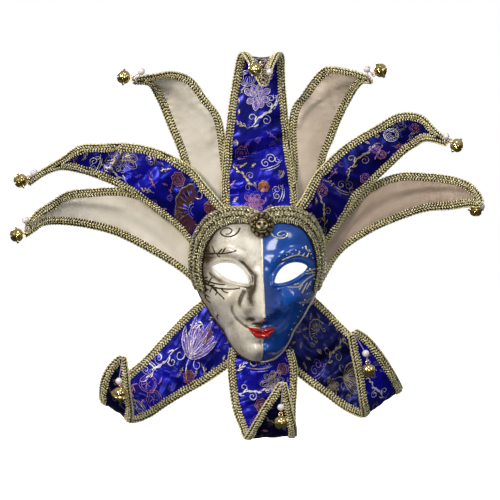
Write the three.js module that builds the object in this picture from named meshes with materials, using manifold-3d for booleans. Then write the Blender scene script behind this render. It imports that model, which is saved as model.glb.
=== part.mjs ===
// Masquerade mask of the jester kind: a papier-mache face in two colours, seven brow points and three
// collar points of stiffened cloth bound in gold braid, with a pearl and a jingle bell at each tip.
// Millimetres, +Z up, the face looks along -Y. The origin is on the inside of the brow, behind the boss.

import * as THREE from 'three';
import { mergeVertices } from 'three/addons/utils/BufferGeometryUtils.js';
import Module from 'manifold-3d';

const wasm = await Module();
wasm.setup();
const { Manifold } = wasm;

// Face shell
const SHELL_WALL = 2.6;
const SHELL_SPOKES = 36;
const SHELL_RINGS = [0.09, 0.18, 0.27, 0.36, 0.46, 0.56, 0.67, 0.78, 0.89, 1];
const SPOKE_CENTRE_Z = -84;
const DOME_DEPTH = -12;
const DOME_ROUNDNESS = 0.97;
const RIM_CALM = 8;

// Edge of the shell from the dip at the brow down to the chin, one half.
// Columns: x, z, y
const RIM = [
  [0, 11, 3],
  [14, 17, 4],
  [30, 18.5, 7],
  [44, 16, 13],
  [57, 10, 21],
  [67.5, -1, 30],
  [74.5, -15, 39],
  [77.5, -31, 45],
  [78, -46, 48],
  [75, -64, 49],
  [69, -79, 47],
  [58, -99, 41],
  [42, -122, 31],
  [33, -139, 24],
  [23, -151, 17],
  [11, -157.5, 11],
  [0, -159, 9],
];

// Long drooping nose, ridge line from the bridge to the upper lip.
const NOSE_FLANK = 1.8;
// Columns: z, height, half width
const NOSE = [
  [-40, 0, 8],
  [-55, 4, 8],
  [-70, 11, 9],
  [-85, 20, 11],
  [-98, 29, 12.5],
  [-105, 34, 11],
  [-110, 27, 8],
  [-114, 5, 8],
  [-118, 0, 9],
];

// Rounded swellings and hollows of the face, each on both sides.
// Columns: x, z, height, spread in x, spread in z
const FEATURES = [
  [27, -14, 2.5, 22, 14],
  [34, -37, 3, 20, 6],
  [35, -56, -7, 19, 12],
  [18, -96, 9, 7, 8],
  [43, -87, 8, 15, 13],
  [9, -124, 6, 15, 12],
  [7, -121, 2.5, 8, 3],
  [5, -129, 2.5, 7, 3.2],
  [5, -148, 11, 11, 9],
];

// Eye holes: an almond between two corners, with a high upper lid.
const EYE_OUTER = { x: 55.5, z: -48.5 };
const EYE_INNER = { x: 14.5, z: -68 };
const EYE_UPPER_LID = 14;
const EYE_LOWER_LID = 6.5;
const EYE_BLUNTNESS = 0.62;
const EYE_STEPS = 7;
const EYE_CUT_FRONT = -60;
const EYE_CUT_BACK = 70;

// Brow braid: wide gimp sewn over the edge of the shell from cheek to cheek.
const BROW_BRAID_GAP = 0.4;
const BROW_BRAID_THICKNESS = 3;
const BROW_BRAID_RINGS = [0.78, 0.89, 1];
const BROW_BRAID_END_Z = -76;

// Lion boss
const BOSS_WIDTH = 28;
const BOSS_HEIGHT = 30;
const BOSS_SEAT_Y = -9.2;
const BOSS_Z = -1;
const BOSS_SIDES = 16;
const MUZZLE_HEIGHT = 8;
const MUZZLE_DROP = 1;
// Columns: share of the radius, height, scallop height
const BOSS_RELIEF = [
  [1, 1.4, 0],
  [0.94, 3.2, 0.8],
  [0.72, 4.2, 1.2],
  [0.5, 5.4, 0],
  [0.22, 7.4, 0],
];

// Cloth points and their braid
const CLOTH = 2;
const GAP = 0.7;
const EDGE_GAP = 0.7;
const TIP_EASE = 0.3;
const BRAID_WALL = 1.4;
const BRAID_WIDTH = 8.5;
const BRAID_OVERHANG = 2.2;
const BRAID_SHARE = 0.43;
// Stations along a point, from base to tip, closer together where the tip is folded over.
const PLAIN_STATIONS = [0, 0.16, 0.31, 0.45, 0.57, 0.68, 0.79, 0.89, 1];
const FOLDED_STATIONS = [0, 0.14, 0.28, 0.4, 0.49, 0.555, 0.62, 0.71, 0.84, 1];
const FOLDED_POINTS = ['point_top', 'collar_left', 'collar_centre', 'collar_right'];
const CREAM_POINTS = ['point_upper_left', 'point_upper_right', 'point_lower_left', 'point_lower_right'];

// Sections of each point from its base, tucked behind the shell, to its tip. A section runs between the
// two finished edges, left and right as the point grows, and bulges at its middle by the crown.
// Columns: left x, left y, left z, right x, right y, right z, crown
const SECTIONS = {
  point_top: [
    [-42, 27.8, 9, 45, 29.5, 9, 17],
    [-44, 32, 40, 45, 33.5, 40, 12.5],
    [-41, 34, 86, 39, 34, 86, 8],
    [-36, 34, 133, 34, 34, 133, 6],
    [-30, 32, 172, 31, 32, 172, 5],
    [-26, 20, 195, 29, 20, 195, 6],
    [-22, 2, 197, 23, 2, 197, 8],
    [-16, -12, 185, 16, -12, 185, 6],
    [-10, -22, 170, 10, -22, 170, 2],
    [-4, -28, 158, 6, -28, 158, 0],
  ],
  point_upper_left: [
    [-72, 50, 22, -28, 42, 28, 2],
    [-88, 46, 69, -34, 42, 69, 3],
    [-97, 43, 94, -38, 39.4, 101, 4],
    [-107, 41, 117, -44, 38, 126, 5],
    [-115, 37, 137, -59, 35, 146, 5],
    [-122, 31, 150, -77, 28, 169, 5],
    [-128, 20, 159, -100, 12, 176, 3],
    [-134, 6, 160, -122, -2, 172, 1],
    [-147, -6, 159, -143, -10, 168, 0],
  ],
  point_upper_right: [
    [35, 44, 22, 75, 53, 22, 2],
    [37, 44, 69, 80, 47, 75, 3],
    [35, 41.8, 110, 89, 43, 99, 4],
    [39, 40, 136, 97, 41, 120, 5],
    [51, 38, 153, 105, 39, 137, 5],
    [63, 32, 171, 111, 33, 149, 4],
    [77, 20, 183, 115, 23, 157, 3],
    [101, 3, 179, 120, 8, 163, 1],
    [123, -10, 171, 128, -9, 161, 0],
  ],
  point_mid_left: [
    [-68, 51, -37, -35, 14.6, 14, 1],
    [-91, 54, -9, -61, 27, 46, 3],
    [-109, 52, 6, -80, 32, 68, 5],
    [-138, 48, 28, -115, 35, 87, 5],
    [-167, 43, 44, -150, 35, 94, 5],
    [-194, 35, 55, -179, 30, 93, 4],
    [-214, 24, 60, -208, 20, 91, 3],
    [-231, 4, 61, -229, 2, 76, 1],
    [-248, -16, 54, -247, -16, 64, 0],
    [-264, -32, 42, -265, -32, 52, 0],
  ],
  point_mid_right: [
    [36, 14.8, 14, 76, 53, -32, 1],
    [49, 25, 31, 93, 55, -9, 2],
    [71, 32, 65, 114, 51, 25, 4],
    [101, 36, 94, 143, 45, 54, 5],
    [136, 36, 115, 171, 40, 81, 4],
    [163, 28, 130, 185, 31, 91, 3],
    [187, 12, 128, 192, 15.5, 96, 2],
    [203, -6, 110, 199, -5, 94, 1],
    [214, -20, 98, 211, -20, 89, 0],
  ],
  point_lower_left: [
    [-71, 58, -72, -63, 55.5, -14, 1],
    [-91, 60, -54, -95, 59.9, 9, 2],
    [-126, 60, -33, -126, 59, 33, 4],
    [-164, 57, -14, -159, 56, 43, 5],
    [-197, 49, -5, -193, 47, 42, 5],
    [-227, 35, -1, -222, 32, 38, 4],
    [-248, 16, -2, -243, 12, 24, 2],
    [-259, 0, -9, -258, -2, 14, 1],
    [-269, -8, -16, -268, -8, 0, 0],
  ],
  point_lower_right: [
    [69, 58.8, -14, 75, 62, -73, 1],
    [103, 62.2, 12, 99, 64.1, -35, 2],
    [135, 60, 47, 133, 61.5, -11, 4],
    [168, 57, 61, 166, 58, 4, 5],
    [202, 50, 61, 199, 51, 15, 5],
    [229, 38, 57, 225, 38, 17, 4],
    [246, 25, 50, 238, 25, 19, 2],
    [256, 12, 39, 245, 14, 20, 1],
    [260, 3, 28, 251, 5, 19, 0],
  ],
  collar_left: [
    [-20, 38, -157, -46, 49.1, -74, 2],
    [-55, 40, -182, -80, 49.3, -100, 4],
    [-80, 37, -196, -109, 46, -129, 5],
    [-106, 32, -211, -136, 39, -157, 4],
    [-127, 22, -224, -164, 24, -179, 2],
    [-146, 6, -228, -183, 6, -201, 0],
    [-147, -14, -215, -186, -14, -188, 3],
    [-150, -26, -193, -183, -26, -172, 5],
    [-152, -33, -172, -175, -33, -158, 3],
    [-155, -38, -152, -165, -38, -149, 0],
  ],
  collar_centre: [
    [40, 28.7, -146, -35, 28.7, -144, 9],
    [45, 29.5, -165, -37, 29.5, -163, 9],
    [45, 27, -188, -35, 27, -191, 7],
    [43, 22, -211, -31, 23, -216, 5],
    [42, 11, -232, -24, 13, -236, 2],
    [41, -6, -243, -21, -4, -245, 0],
    [39, -24, -232, -15, -22, -233, 3],
    [34, -34, -213, -4, -33, -212, 4],
    [30, -40, -196, 7, -40, -194, 2],
    [26, -44, -181, 15, -44, -181, 0],
  ],
  collar_right: [
    [51, 50.5, -70, 26, 38, -162, 2],
    [82, 50.6, -98, 58, 40, -187, 4],
    [103, 46.5, -120, 78, 37, -201, 5],
    [126, 39, -140, 95, 32, -214, 4],
    [150, 26, -165, 107, 21, -221, 2],
    [165, 7, -189, 117, 7, -223, 0],
    [156, -13, -174, 113, -13, -208, 3],
    [140, -26, -150, 106, -26, -173, 5],
    [123, -33, -130, 100, -33, -148, 3],
    [108, -38, -120, 96, -38, -127, 0],
  ],
};

// Main folds pressed into the cloth, as straight lines over a point of about this length.
// Columns: start along, start across, end along, end across, depth, half width
const POINT_LENGTH = 190;
const FOLDS = {
  point_top: [[0.16, 0, 0.24, 1, -3, 9], [0.3, 0.1, 0.36, 1, 2.5, 8]],
  point_upper_left: [[0.35, 0.9, 0.75, 0.35, 2.5, 8]],
  point_upper_right: [[0.3, 0.1, 0.8, 0.6, 2.5, 8]],
  point_mid_left: [[0.44, 0, 0.5, 1, -3, 9], [0.28, 0, 0.34, 1, 2, 8]],
  point_mid_right: [[0.22, 0, 0.3, 1, -3, 9], [0.42, 0, 0.46, 1, 2, 9]],
  point_lower_left: [[0.2, 0.3, 0.8, 0.6, -2.5, 9]],
  point_lower_right: [[0.2, 0.6, 0.8, 0.4, -2.5, 9]],
  collar_left: [[0.12, 0.1, 0.3, 0.9, -2.5, 9]],
  collar_centre: [[0.2, 0.1, 0.26, 0.9, -2, 9]],
  collar_right: [[0.1, 0.9, 0.3, 0.2, -2.5, 9]],
};

// Pearl strings and bells: the pearl, the middle of the bell's flange, and the way the bell hangs.
// Columns: pearl x, y, z, bell x, y, z, hang x, y, z
const PEARL_RADIUS = 4;
const PEARL_SIDES = 10;
const THREAD_RADIUS = 0.45;
const THREAD_SIDES = 5;
const STRING_GAP = 0.15;
// Places of the thread at the loop of the bell, as it goes in and as it comes out.
// Columns: along the hole, towards the top of the loop
const THREAD_IN = [2.2, 1.05];
const THREAD_OUT = [-1.1, 0.15];
const DROPS = {
  point_top: [6, -38, 172, -10, -44, 174, -0.62, 0.4, -0.67],
  point_upper_left: [-138, -19, 173, -158, -13, 167, -0.98, 0.1, 0.1],
  point_upper_right: [120, -22, 177, 136, -18, 176, 0.87, 0.05, 0.48],
  point_mid_left: [-259, -43, 57, -274, -38, 48, -0.91, 0.05, -0.4],
  point_mid_right: [210, -31, 100, 223, -26, 90, 0.82, 0.05, -0.57],
  point_lower_left: [-269, -20, 4, -279, -14, -13, -0.98, 0.1, -0.15],
  point_lower_right: [259, 11, 21, 254, 22, 17, 0, 0, -1],
  collar_left: [-164, -48, -177, -163, -46, -191, -0.1, 0.5, -0.86],
  collar_centre: [18, -54, -207, 18, -54, -224, 0, 0, -1],
  collar_right: [115, -48, -147, 118, -48, -166, 0.05, 0, -1],
};

// Jingle bell, hanging down from its loop.
// Columns: radius, height over the flange
const BELL_OUTSIDE = [
  [0, 7.4],
  [4.8, 6],
  [7.4, 2.4],
  [9.6, 0.2],
  [7.2, -1.2],
  [6.2, -5.4],
  [0, -7.6],
];
const BELL_INSIDE = [
  [0, -6.4],
  [5.6, -3],
  [0, 5],
];
const BELL_SIDES = 10;
const BELL_SLOT = 1.8;
const BELL_SLOT_TOP = -3;
const LOOP_RADIUS = 2.1;
const LOOP_WIRE = 0.65;
const LOOP_WIRE_SIDES = 5;
const LOOP_STEPS = 6;
const LOOP_HEIGHT = 9.2;

// Corners nearer than this are one corner, and flatter corners than the second size are smoothed away.
const ONE_CORNER = 0.001;
const FLAT_CORNER = 0.06;

// Colours
const IVORY = 0xdcd5c0;
const ROYAL_BLUE = 0x1c16a0;
const CREAM = 0xd8d0be;
const PALE_GOLD = 0xd9cb86;
const BRASS = 0xd8c27a;
const OLD_BRASS = 0x6e5f46;
const PEARL_WHITE = 0xf2eee6;

// A vector from three numbers of a table.
function vec(x, y, z) {
  return new THREE.Vector3(x, y, z);
}

// Smooth run through the rows of a table, at a place counted in rows.
function alongRows(rows, place) {
  const last = rows.length - 1;
  const k = Math.min(Math.floor(place), last - 1);
  const f = place - k;
  const before = rows[Math.max(k - 1, 0)];
  const start = rows[k];
  const end = rows[k + 1];
  const after = rows[Math.min(k + 2, last)];
  const f2 = f * f;
  const f3 = f2 * f;
  return start.map((value, i) => {
    const leave = (end[i] - before[i]) / (k > 0 ? 2 : 1);
    const arrive = (after[i] - value) / (k + 1 < last ? 2 : 1);
    return value * (2 * f3 - 3 * f2 + 1) + leave * (f3 - 2 * f2 + f)
      + end[i] * (3 * f2 - 2 * f3) + arrive * (f3 - f2);
  });
}

// Value of a table at a key that rises from row to row.
function atKey(rows, keys, key) {
  const held = Math.min(Math.max(key, keys[0]), keys[keys.length - 1]);
  let k = 0;
  while (k < keys.length - 2 && held > keys[k + 1]) {
    k += 1;
  }
  return alongRows(rows, k + (held - keys[k]) / (keys[k + 1] - keys[k]));
}

// Closed solid from rings of points, each ring joined to the next and both ends capped by the given faces.
function solidFromRings(rings, capFaces) {
  const size = rings[0].length;
  const faces = [];
  for (let r = 0; r + 1 < rings.length; r += 1) {
    for (let i = 0; i < size; i += 1) {
      const j = (i + 1) % size;
      const low = r * size;
      const high = low + size;
      faces.push([low + i, low + j, high + j], [low + i, high + j, high + i]);
    }
  }
  const top = (rings.length - 1) * size;
  for (const [i, j, k] of capFaces) {
    faces.push([i, k, j], [top + i, top + j, top + k]);
  }
  return solidFromFaces(rings.flat(), faces);
}

// Closed solid from points and triangles, turned to face outwards.
function solidFromFaces(points, faces) {
  let volume = 0;
  for (const [i, j, k] of faces) {
    volume += points[i].dot(vec(0, 0, 0).crossVectors(points[j], points[k]));
  }
  const turned = volume < 0 ? faces.map(([i, j, k]) => [i, k, j]) : faces;
  return new Manifold(new wasm.Mesh({
    numProp: 3,
    vertProperties: new Float32Array(points.flatMap((p) => [p.x, p.y, p.z])),
    triVerts: new Uint32Array(turned.flat()),
  }));
}

// Closed solid from a geometry, with doubled corners joined and empty triangles left out.
function solidFromGeometry(geometry) {
  geometry.deleteAttribute('normal');
  geometry.deleteAttribute('uv');
  const joined = mergeVertices(geometry, ONE_CORNER);
  const corners = joined.getAttribute('position');
  const points = [];
  for (let i = 0; i < corners.count; i += 1) {
    points.push(vec(0, 0, 0).fromBufferAttribute(corners, i));
  }
  const faces = [];
  for (let f = 0; f < joined.index.count; f += 3) {
    const [i, j, k] = joined.index.array.slice(f, f + 3);
    if (i !== j && j !== k && k !== i) {
      faces.push([i, j, k]);
    }
  }
  return solidFromFaces(points, faces);
}

// Named mesh of a solid.
function meshOf(name, solid, color, roughness, metalness) {
  const { vertProperties, triVerts, numProp } = solid.getMesh();
  const geometry = new THREE.BufferGeometry();
  const count = vertProperties.length / numProp;
  const positions = new Float32Array(count * 3);
  for (let i = 0; i < count; i += 1) {
    positions.set(vertProperties.slice(i * numProp, i * numProp + 3), i * 3);
  }
  geometry.setAttribute('position', new THREE.BufferAttribute(positions, 3));
  geometry.setIndex(new THREE.BufferAttribute(new Uint32Array(triVerts), 1));
  geometry.computeVertexNormals();
  const mesh = new THREE.Mesh(geometry, new THREE.MeshStandardMaterial({ color, roughness, metalness }));
  mesh.name = name;
  return mesh;
}

// Rim of the shell by the angle from straight up: distance from the middle of the spokes, and depth.
const RIM_ANGLES = RIM.map(([x, z]) => Math.atan2(x, z - SPOKE_CENTRE_Z));
const RIM_REACH = RIM.map(([x, z, y]) => [Math.hypot(x, z - SPOKE_CENTRE_Z), y]);
const NOSE_KEYS = NOSE.map(([z]) => -z);

// Height of the nose, the swellings and the hollows over the plain dome of the face.
function featureHeight(x, z) {
  let height = 0;
  if (-z > NOSE_KEYS[0] && -z < NOSE_KEYS[NOSE_KEYS.length - 1]) {
    const [, ridge, halfWidth] = atKey(NOSE, NOSE_KEYS, -z);
    height += ridge * Math.exp(-(Math.abs(x / halfWidth) ** NOSE_FLANK));
  }
  for (const [fx, fz, high, spreadX, spreadZ] of FEATURES) {
    const dx = (Math.abs(x) - fx) / spreadX;
    const dz = (z - fz) / spreadZ;
    height += high * Math.exp(-(dx * dx + dz * dz));
  }
  return height;
}

// Outside of the face on a spoke at an angle from straight up, at a share of the way to the rim.
function facePoint(angle, share) {
  const [reach, rimY] = atKey(RIM_REACH, RIM_ANGLES, Math.abs(Math.atan2(Math.sin(angle), Math.cos(angle))));
  const x = Math.sin(angle) * reach * share;
  const z = SPOKE_CENTRE_Z + Math.cos(angle) * reach * share;
  const bend = DOME_ROUNDNESS * share;
  const full = 1 - Math.sqrt(1 - DOME_ROUNDNESS ** 2);
  const dome = (1 - Math.sqrt(1 - bend * bend)) / full;
  const y = DOME_DEPTH + (rimY - DOME_DEPTH) * dome - featureHeight(x, z) * (1 - share ** RIM_CALM);
  return vec(x, y, z);
}

// Direction out of the face at the same place.
function faceOutward(angle, share) {
  const inner = Math.max(share - 0.02, 0.02);
  const outer = Math.min(inner + 0.04, 1);
  const along = facePoint(angle, outer).sub(facePoint(angle, inner));
  const held = Math.max(share, 0.05);
  const round = facePoint(angle + 0.03, held).sub(facePoint(angle - 0.03, held));
  const outward = along.cross(round).normalize();
  return outward.y > 0 ? outward.negate() : outward;
}

// Angle of a spoke of the shell.
function spokeAngle(index) {
  return (index / SHELL_SPOKES) * Math.PI * 2;
}

// Moulded wall with both eye holes.
function faceShell() {
  const points = [facePoint(0, 0)];
  const inside = [facePoint(0, 0).add(vec(0, SHELL_WALL, 0))];
  for (const share of SHELL_RINGS) {
    for (let i = 0; i < SHELL_SPOKES; i += 1) {
      const p = facePoint(spokeAngle(i), share);
      points.push(p);
      inside.push(p.clone().addScaledVector(faceOutward(spokeAngle(i), share), -SHELL_WALL));
    }
  }
  const faces = [];
  const shift = points.length;
  const rings = SHELL_RINGS.length;
  const at = (ring, i) => 1 + ring * SHELL_SPOKES + (i % SHELL_SPOKES);
  const both = (i, j, k) => faces.push([i, j, k], [shift + i, shift + k, shift + j]);
  for (let i = 0; i < SHELL_SPOKES; i += 1) {
    both(0, at(0, i), at(0, i + 1));
    for (let ring = 0; ring + 1 < rings; ring += 1) {
      both(at(ring, i), at(ring + 1, i), at(ring + 1, i + 1));
      both(at(ring, i), at(ring + 1, i + 1), at(ring, i + 1));
    }
    const a = at(rings - 1, i);
    const b = at(rings - 1, i + 1);
    faces.push([a, shift + a, shift + b], [a, shift + b, b]);
  }
  const wall = solidFromFaces(points.concat(inside), faces);
  return wall.subtract(eyeHole(1)).subtract(eyeHole(-1));
}

// Almond prism that runs through the wall at one eye.
function eyeHole(side) {
  const chordX = EYE_INNER.x - EYE_OUTER.x;
  const chordZ = EYE_INNER.z - EYE_OUTER.z;
  const length = Math.hypot(chordX, chordZ);
  const outline = [];
  for (let i = 0; i < EYE_STEPS * 2; i += 1) {
    const q = i <= EYE_STEPS ? i / EYE_STEPS : 2 - i / EYE_STEPS;
    const lid = i <= EYE_STEPS ? EYE_UPPER_LID : -EYE_LOWER_LID;
    const rise = lid * Math.sin(Math.PI * q) ** EYE_BLUNTNESS;
    const x = EYE_OUTER.x + chordX * q + (rise * chordZ) / length;
    const z = EYE_OUTER.z + chordZ * q - (rise * chordX) / length;
    outline.push([side * x, z]);
  }
  const near = outline.map(([x, z]) => vec(x, EYE_CUT_FRONT, z));
  const far = outline.map(([x, z]) => vec(x, EYE_CUT_BACK, z));
  const flat = outline.map(([x, z]) => new THREE.Vector2(x, z));
  const cap = THREE.ShapeUtils.triangulateShape(flat, []).map((face) => face.sort((i, j) => i - j));
  return solidFromRings([near, far], cap);
}

// Gimp over the rim of the shell, from one cheek over the brow to the other.
function browBraid() {
  const spokes = [];
  for (let i = -SHELL_SPOKES / 2; i <= SHELL_SPOKES / 2; i += 1) {
    if (facePoint(spokeAngle(i), 1).z > BROW_BRAID_END_Z) {
      spokes.push(spokeAngle(i));
    }
  }
  const rings = spokes.map((angle) => {
    const lift = (share, height) => facePoint(angle, share).addScaledVector(faceOutward(angle, share), height);
    const under = BROW_BRAID_RINGS.map((share) => lift(share, BROW_BRAID_GAP));
    const over = BROW_BRAID_RINGS.map((share) => lift(share, BROW_BRAID_THICKNESS + BROW_BRAID_GAP));
    return under.concat(over.reverse());
  });
  return solidFromRings(rings, [[0, 1, 5], [1, 4, 5], [1, 2, 4], [2, 3, 4]]);
}

// Boss with a scalloped mane round a raised muzzle, flat at the back.
function lionBoss() {
  const points = [vec(0, BOSS_SEAT_Y, BOSS_Z), vec(0, BOSS_SEAT_Y - MUZZLE_HEIGHT, BOSS_Z - MUZZLE_DROP)];
  const rows = [[1, 0, 0], ...BOSS_RELIEF];
  for (const [share, height, scallop] of rows) {
    for (let i = 0; i < BOSS_SIDES; i += 1) {
      const angle = (i / BOSS_SIDES) * Math.PI * 2;
      const rise = height + (i % 2 ? scallop : 0);
      const x = Math.sin(angle) * share * BOSS_WIDTH / 2;
      const z = BOSS_Z + Math.cos(angle) * share * BOSS_HEIGHT / 2;
      points.push(vec(x, BOSS_SEAT_Y - rise, z));
    }
  }
  const faces = [];
  const at = (row, i) => 2 + row * BOSS_SIDES + (i % BOSS_SIDES);
  for (let i = 0; i < BOSS_SIDES; i += 1) {
    faces.push([0, at(0, i), at(0, i + 1)]);
    for (let row = 0; row + 1 < rows.length; row += 1) {
      faces.push([at(row, i), at(row + 1, i), at(row + 1, i + 1)]);
      faces.push([at(row, i), at(row + 1, i + 1), at(row, i + 1)]);
    }
    faces.push([at(rows.length - 1, i), 1, at(rows.length - 1, i + 1)]);
  }
  return solidFromFaces(points, faces);
}

// Height of the folds at a place on a point.
function foldHeight(name, along, across, width) {
  let height = 0;
  for (const [s0, t0, s1, t1, depth, spread] of FOLDS[name]) {
    const lineX = (t1 - t0) * width;
    const lineY = (s1 - s0) * POINT_LENGTH;
    const reach = Math.hypot(lineX, lineY);
    const px = (across - t0) * width;
    const py = (along - s0) * POINT_LENGTH;
    const aside = (px * lineY - py * lineX) / reach;
    const onward = (px * lineX + py * lineY) / (reach * reach);
    const fade = Math.min(1, Math.max(0, 1.25 - Math.abs(2 * onward - 1)) * 4);
    height += depth * fade * Math.exp(-((aside / spread) ** 2));
  }
  return height;
}

// Middle of the cloth of a point: along from base to tip, across between the two cloth edges.
function clothPoint(name, along, across) {
  const rows = SECTIONS[name];
  const last = rows.length - 1;
  const here = alongRows(rows, along * last);
  const from = alongRows(rows, Math.max(along - 0.01, 0) * last);
  const to = alongRows(rows, Math.min(along + 0.01, 1) * last);
  const left = vec(here[0], here[1], here[2]);
  const chord = vec(here[3], here[4], here[5]).sub(left);
  const width = chord.length();
  const grow = vec(to[0] + to[3], to[1] + to[4], to[2] + to[5]);
  grow.sub(vec(from[0] + from[3], from[1] + from[4], from[2] + from[5]));
  const front = chord.clone().cross(grow).normalize();
  const inset = BRAID_OVERHANG / width;
  const t = inset + across * (1 - 2 * inset);
  const bulge = here[6] * (1 - (2 * t - 1) ** 2) + foldHeight(name, along, t, width);
  return left.addScaledVector(chord, t).addScaledVector(front, bulge);
}

// Directions at a place on the cloth: across to the right, along to the tip, and out of the front.
function clothFrame(name, along, across) {
  const side = clothPoint(name, along, Math.min(across + 0.01, 1));
  side.sub(clothPoint(name, along, Math.max(across - 0.01, 0))).normalize();
  const grow = clothPoint(name, Math.min(along + 0.005, 1), across);
  grow.sub(clothPoint(name, Math.max(along - 0.005, 0), across)).normalize();
  const front = vec(0, 0, 0).crossVectors(side, grow).normalize();
  return { side, grow, front };
}

// Width of the cloth between its edges.
function clothWidth(name, along) {
  return clothPoint(name, along, 0).distanceTo(clothPoint(name, along, 1));
}

// Share of the cloth's width under each leg of the braid.
function braidShare(name, along) {
  return Math.min(BRAID_SHARE, BRAID_WIDTH / clothWidth(name, along));
}

// Stations of a point.
function stationsOf(name) {
  return FOLDED_POINTS.includes(name) ? FOLDED_STATIONS : PLAIN_STATIONS;
}

// Stiffened cloth of a point.
function clothSolid(name) {
  const rings = [];
  for (const along of stationsOf(name)) {
    const leg = braidShare(name, along);
    const columns = [0, leg, 0.5 - (0.5 - leg) / 3, 0.5 + (0.5 - leg) / 3, 1 - leg, 1];
    const face = (sign) => columns.map((across) => {
      const { front } = clothFrame(name, along, across);
      return clothPoint(name, along, across).addScaledVector(front, sign * CLOTH / 2);
    });
    rings.push(face(1).concat(face(-1).reverse()));
  }
  const cap = [];
  for (let i = 0; i < 5; i += 1) {
    cap.push([i, i + 1, 10 - i], [i, 10 - i, 11 - i]);
  }
  return solidFromRings(rings, cap);
}

// Section of the braid, folded round the cloth edge: its leg ends at the inner place on both faces.
function braidSection(edge, edgeFront, inner, innerFront, outward, ease) {
  const near = CLOTH / 2 + GAP + ease;
  const far = near + BRAID_WALL;
  const reach = (base, front, height, out) => base.clone()
    .addScaledVector(front, height)
    .addScaledVector(outward, out);
  return [
    reach(inner, innerFront, near, 0),
    reach(inner, innerFront, far, 0),
    reach(edge, edgeFront, far * 0.85, BRAID_OVERHANG),
    reach(edge, edgeFront, -far * 0.85, BRAID_OVERHANG),
    reach(inner, innerFront, -far, 0),
    reach(inner, innerFront, -near, 0),
    reach(edge, edgeFront, -near, EDGE_GAP),
    reach(edge, edgeFront, near, EDGE_GAP),
  ];
}

// Gold braid up one edge of a point, round its tip and down the other edge.
function edgingSolid(name) {
  const rings = [];
  const stations = stationsOf(name);
  const onSide = (along, right) => {
    const leg = braidShare(name, along);
    const edge = clothFrame(name, along, right ? 1 : 0);
    const inner = clothFrame(name, along, right ? 1 - leg : leg);
    const outward = vec(0, 0, 0).crossVectors(edge.grow, edge.front).normalize();
    outward.multiplyScalar(outward.dot(edge.side) * (right ? 1 : -1) > 0 ? 1 : -1);
    rings.push(braidSection(
      clothPoint(name, along, right ? 1 : 0),
      edge.front,
      clothPoint(name, along, right ? 1 - leg : leg),
      inner.front,
      outward,
      0,
    ));
  };
  const onTip = (turn, across) => {
    const { side, front } = clothFrame(name, 1, across);
    const leg = braidShare(name, 1) * clothWidth(name, 1);
    const edge = clothPoint(name, 1, across);
    const grow = edge.clone().sub(clothPoint(name, stations[stations.length - 2], across)).normalize();
    grow.addScaledVector(side, -grow.dot(side)).normalize();
    const outward = side.clone().multiplyScalar(-Math.cos(turn)).addScaledVector(grow, Math.sin(turn));
    const inner = edge.clone().addScaledVector(outward, -leg);
    rings.push(braidSection(edge, front, inner, front, outward, TIP_EASE));
  };
  for (const along of stations) {
    onSide(along, false);
  }
  onTip(Math.PI / 4, 0);
  onTip(Math.PI / 2, 0.5);
  onTip((Math.PI * 3) / 4, 1);
  for (const along of [...stations].reverse()) {
    onSide(along, true);
  }
  return solidFromRings(rings, [[0, 1, 7], [1, 2, 7], [2, 3, 7], [3, 6, 7], [3, 4, 6], [4, 5, 6]]);
}

// Turn that brings a hanging bell to its own direction.
function hangTurn(drop) {
  const hang = vec(drop[6], drop[7], drop[8]).normalize();
  return new THREE.Quaternion().setFromUnitVectors(vec(0, 0, -1), hang);
}

// Place of a bell's loop, the direction through its hole and the direction to its top.
function bellLoop(drop) {
  const turn = hangTurn(drop);
  const centre = vec(0, 0, LOOP_HEIGHT).applyQuaternion(turn).add(vec(drop[3], drop[4], drop[5]));
  const through = vec(0, 1, 0).applyQuaternion(turn);
  const up = vec(0, 0, 1).applyQuaternion(turn);
  return { centre, through, up };
}

// Round thread that runs straight from place to place.
function threadSolid(places) {
  let across = vec(0.31, 0.52, 0.8);
  const rings = places.map((place, i) => {
    const ahead = places[Math.min(i + 1, places.length - 1)].clone();
    ahead.sub(places[Math.max(i - 1, 0)]).normalize();
    across = across.clone().addScaledVector(ahead, -across.dot(ahead)).normalize();
    const other = vec(0, 0, 0).crossVectors(ahead, across);
    const ring = [];
    for (let k = 0; k < THREAD_SIDES; k += 1) {
      const turn = (k / THREAD_SIDES) * Math.PI * 2;
      ring.push(place.clone()
        .addScaledVector(across, Math.cos(turn) * THREAD_RADIUS)
        .addScaledVector(other, Math.sin(turn) * THREAD_RADIUS));
    }
    return ring;
  });
  return solidFromRings(rings, [[0, 1, 2], [0, 2, 3], [0, 3, 4]]);
}

// Pearl on its thread, from the face of the braid at the tip of the point to the loop of the bell.
function pearlString(name, drop) {
  const { front } = clothFrame(name, 1, 0.5);
  const tip = clothPoint(name, 1, 0.5);
  const pearl = vec(drop[0], drop[1], drop[2]);
  const face = front.dot(pearl.clone().sub(tip)) > 0 ? 1 : -1;
  const lift = CLOTH / 2 + GAP + TIP_EASE + BRAID_WALL + STRING_GAP + THREAD_RADIUS;
  const start = tip.addScaledVector(front, face * lift);
  const { centre, through, up } = bellLoop(drop);
  const side = through.dot(pearl.clone().sub(centre)) > 0 ? 1 : -1;
  const atLoop = ([along, high]) => centre.clone()
    .addScaledVector(through, side * along)
    .addScaledVector(up, high);
  const thread = threadSolid([start, pearl, atLoop(THREAD_IN), atLoop(THREAD_OUT)]);
  const bead = new THREE.SphereGeometry(PEARL_RADIUS, PEARL_SIDES, PEARL_SIDES / 2);
  bead.translate(pearl.x, pearl.y, pearl.z);
  return solidFromGeometry(bead).add(thread).asOriginal().simplify(FLAT_CORNER);
}

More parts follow.
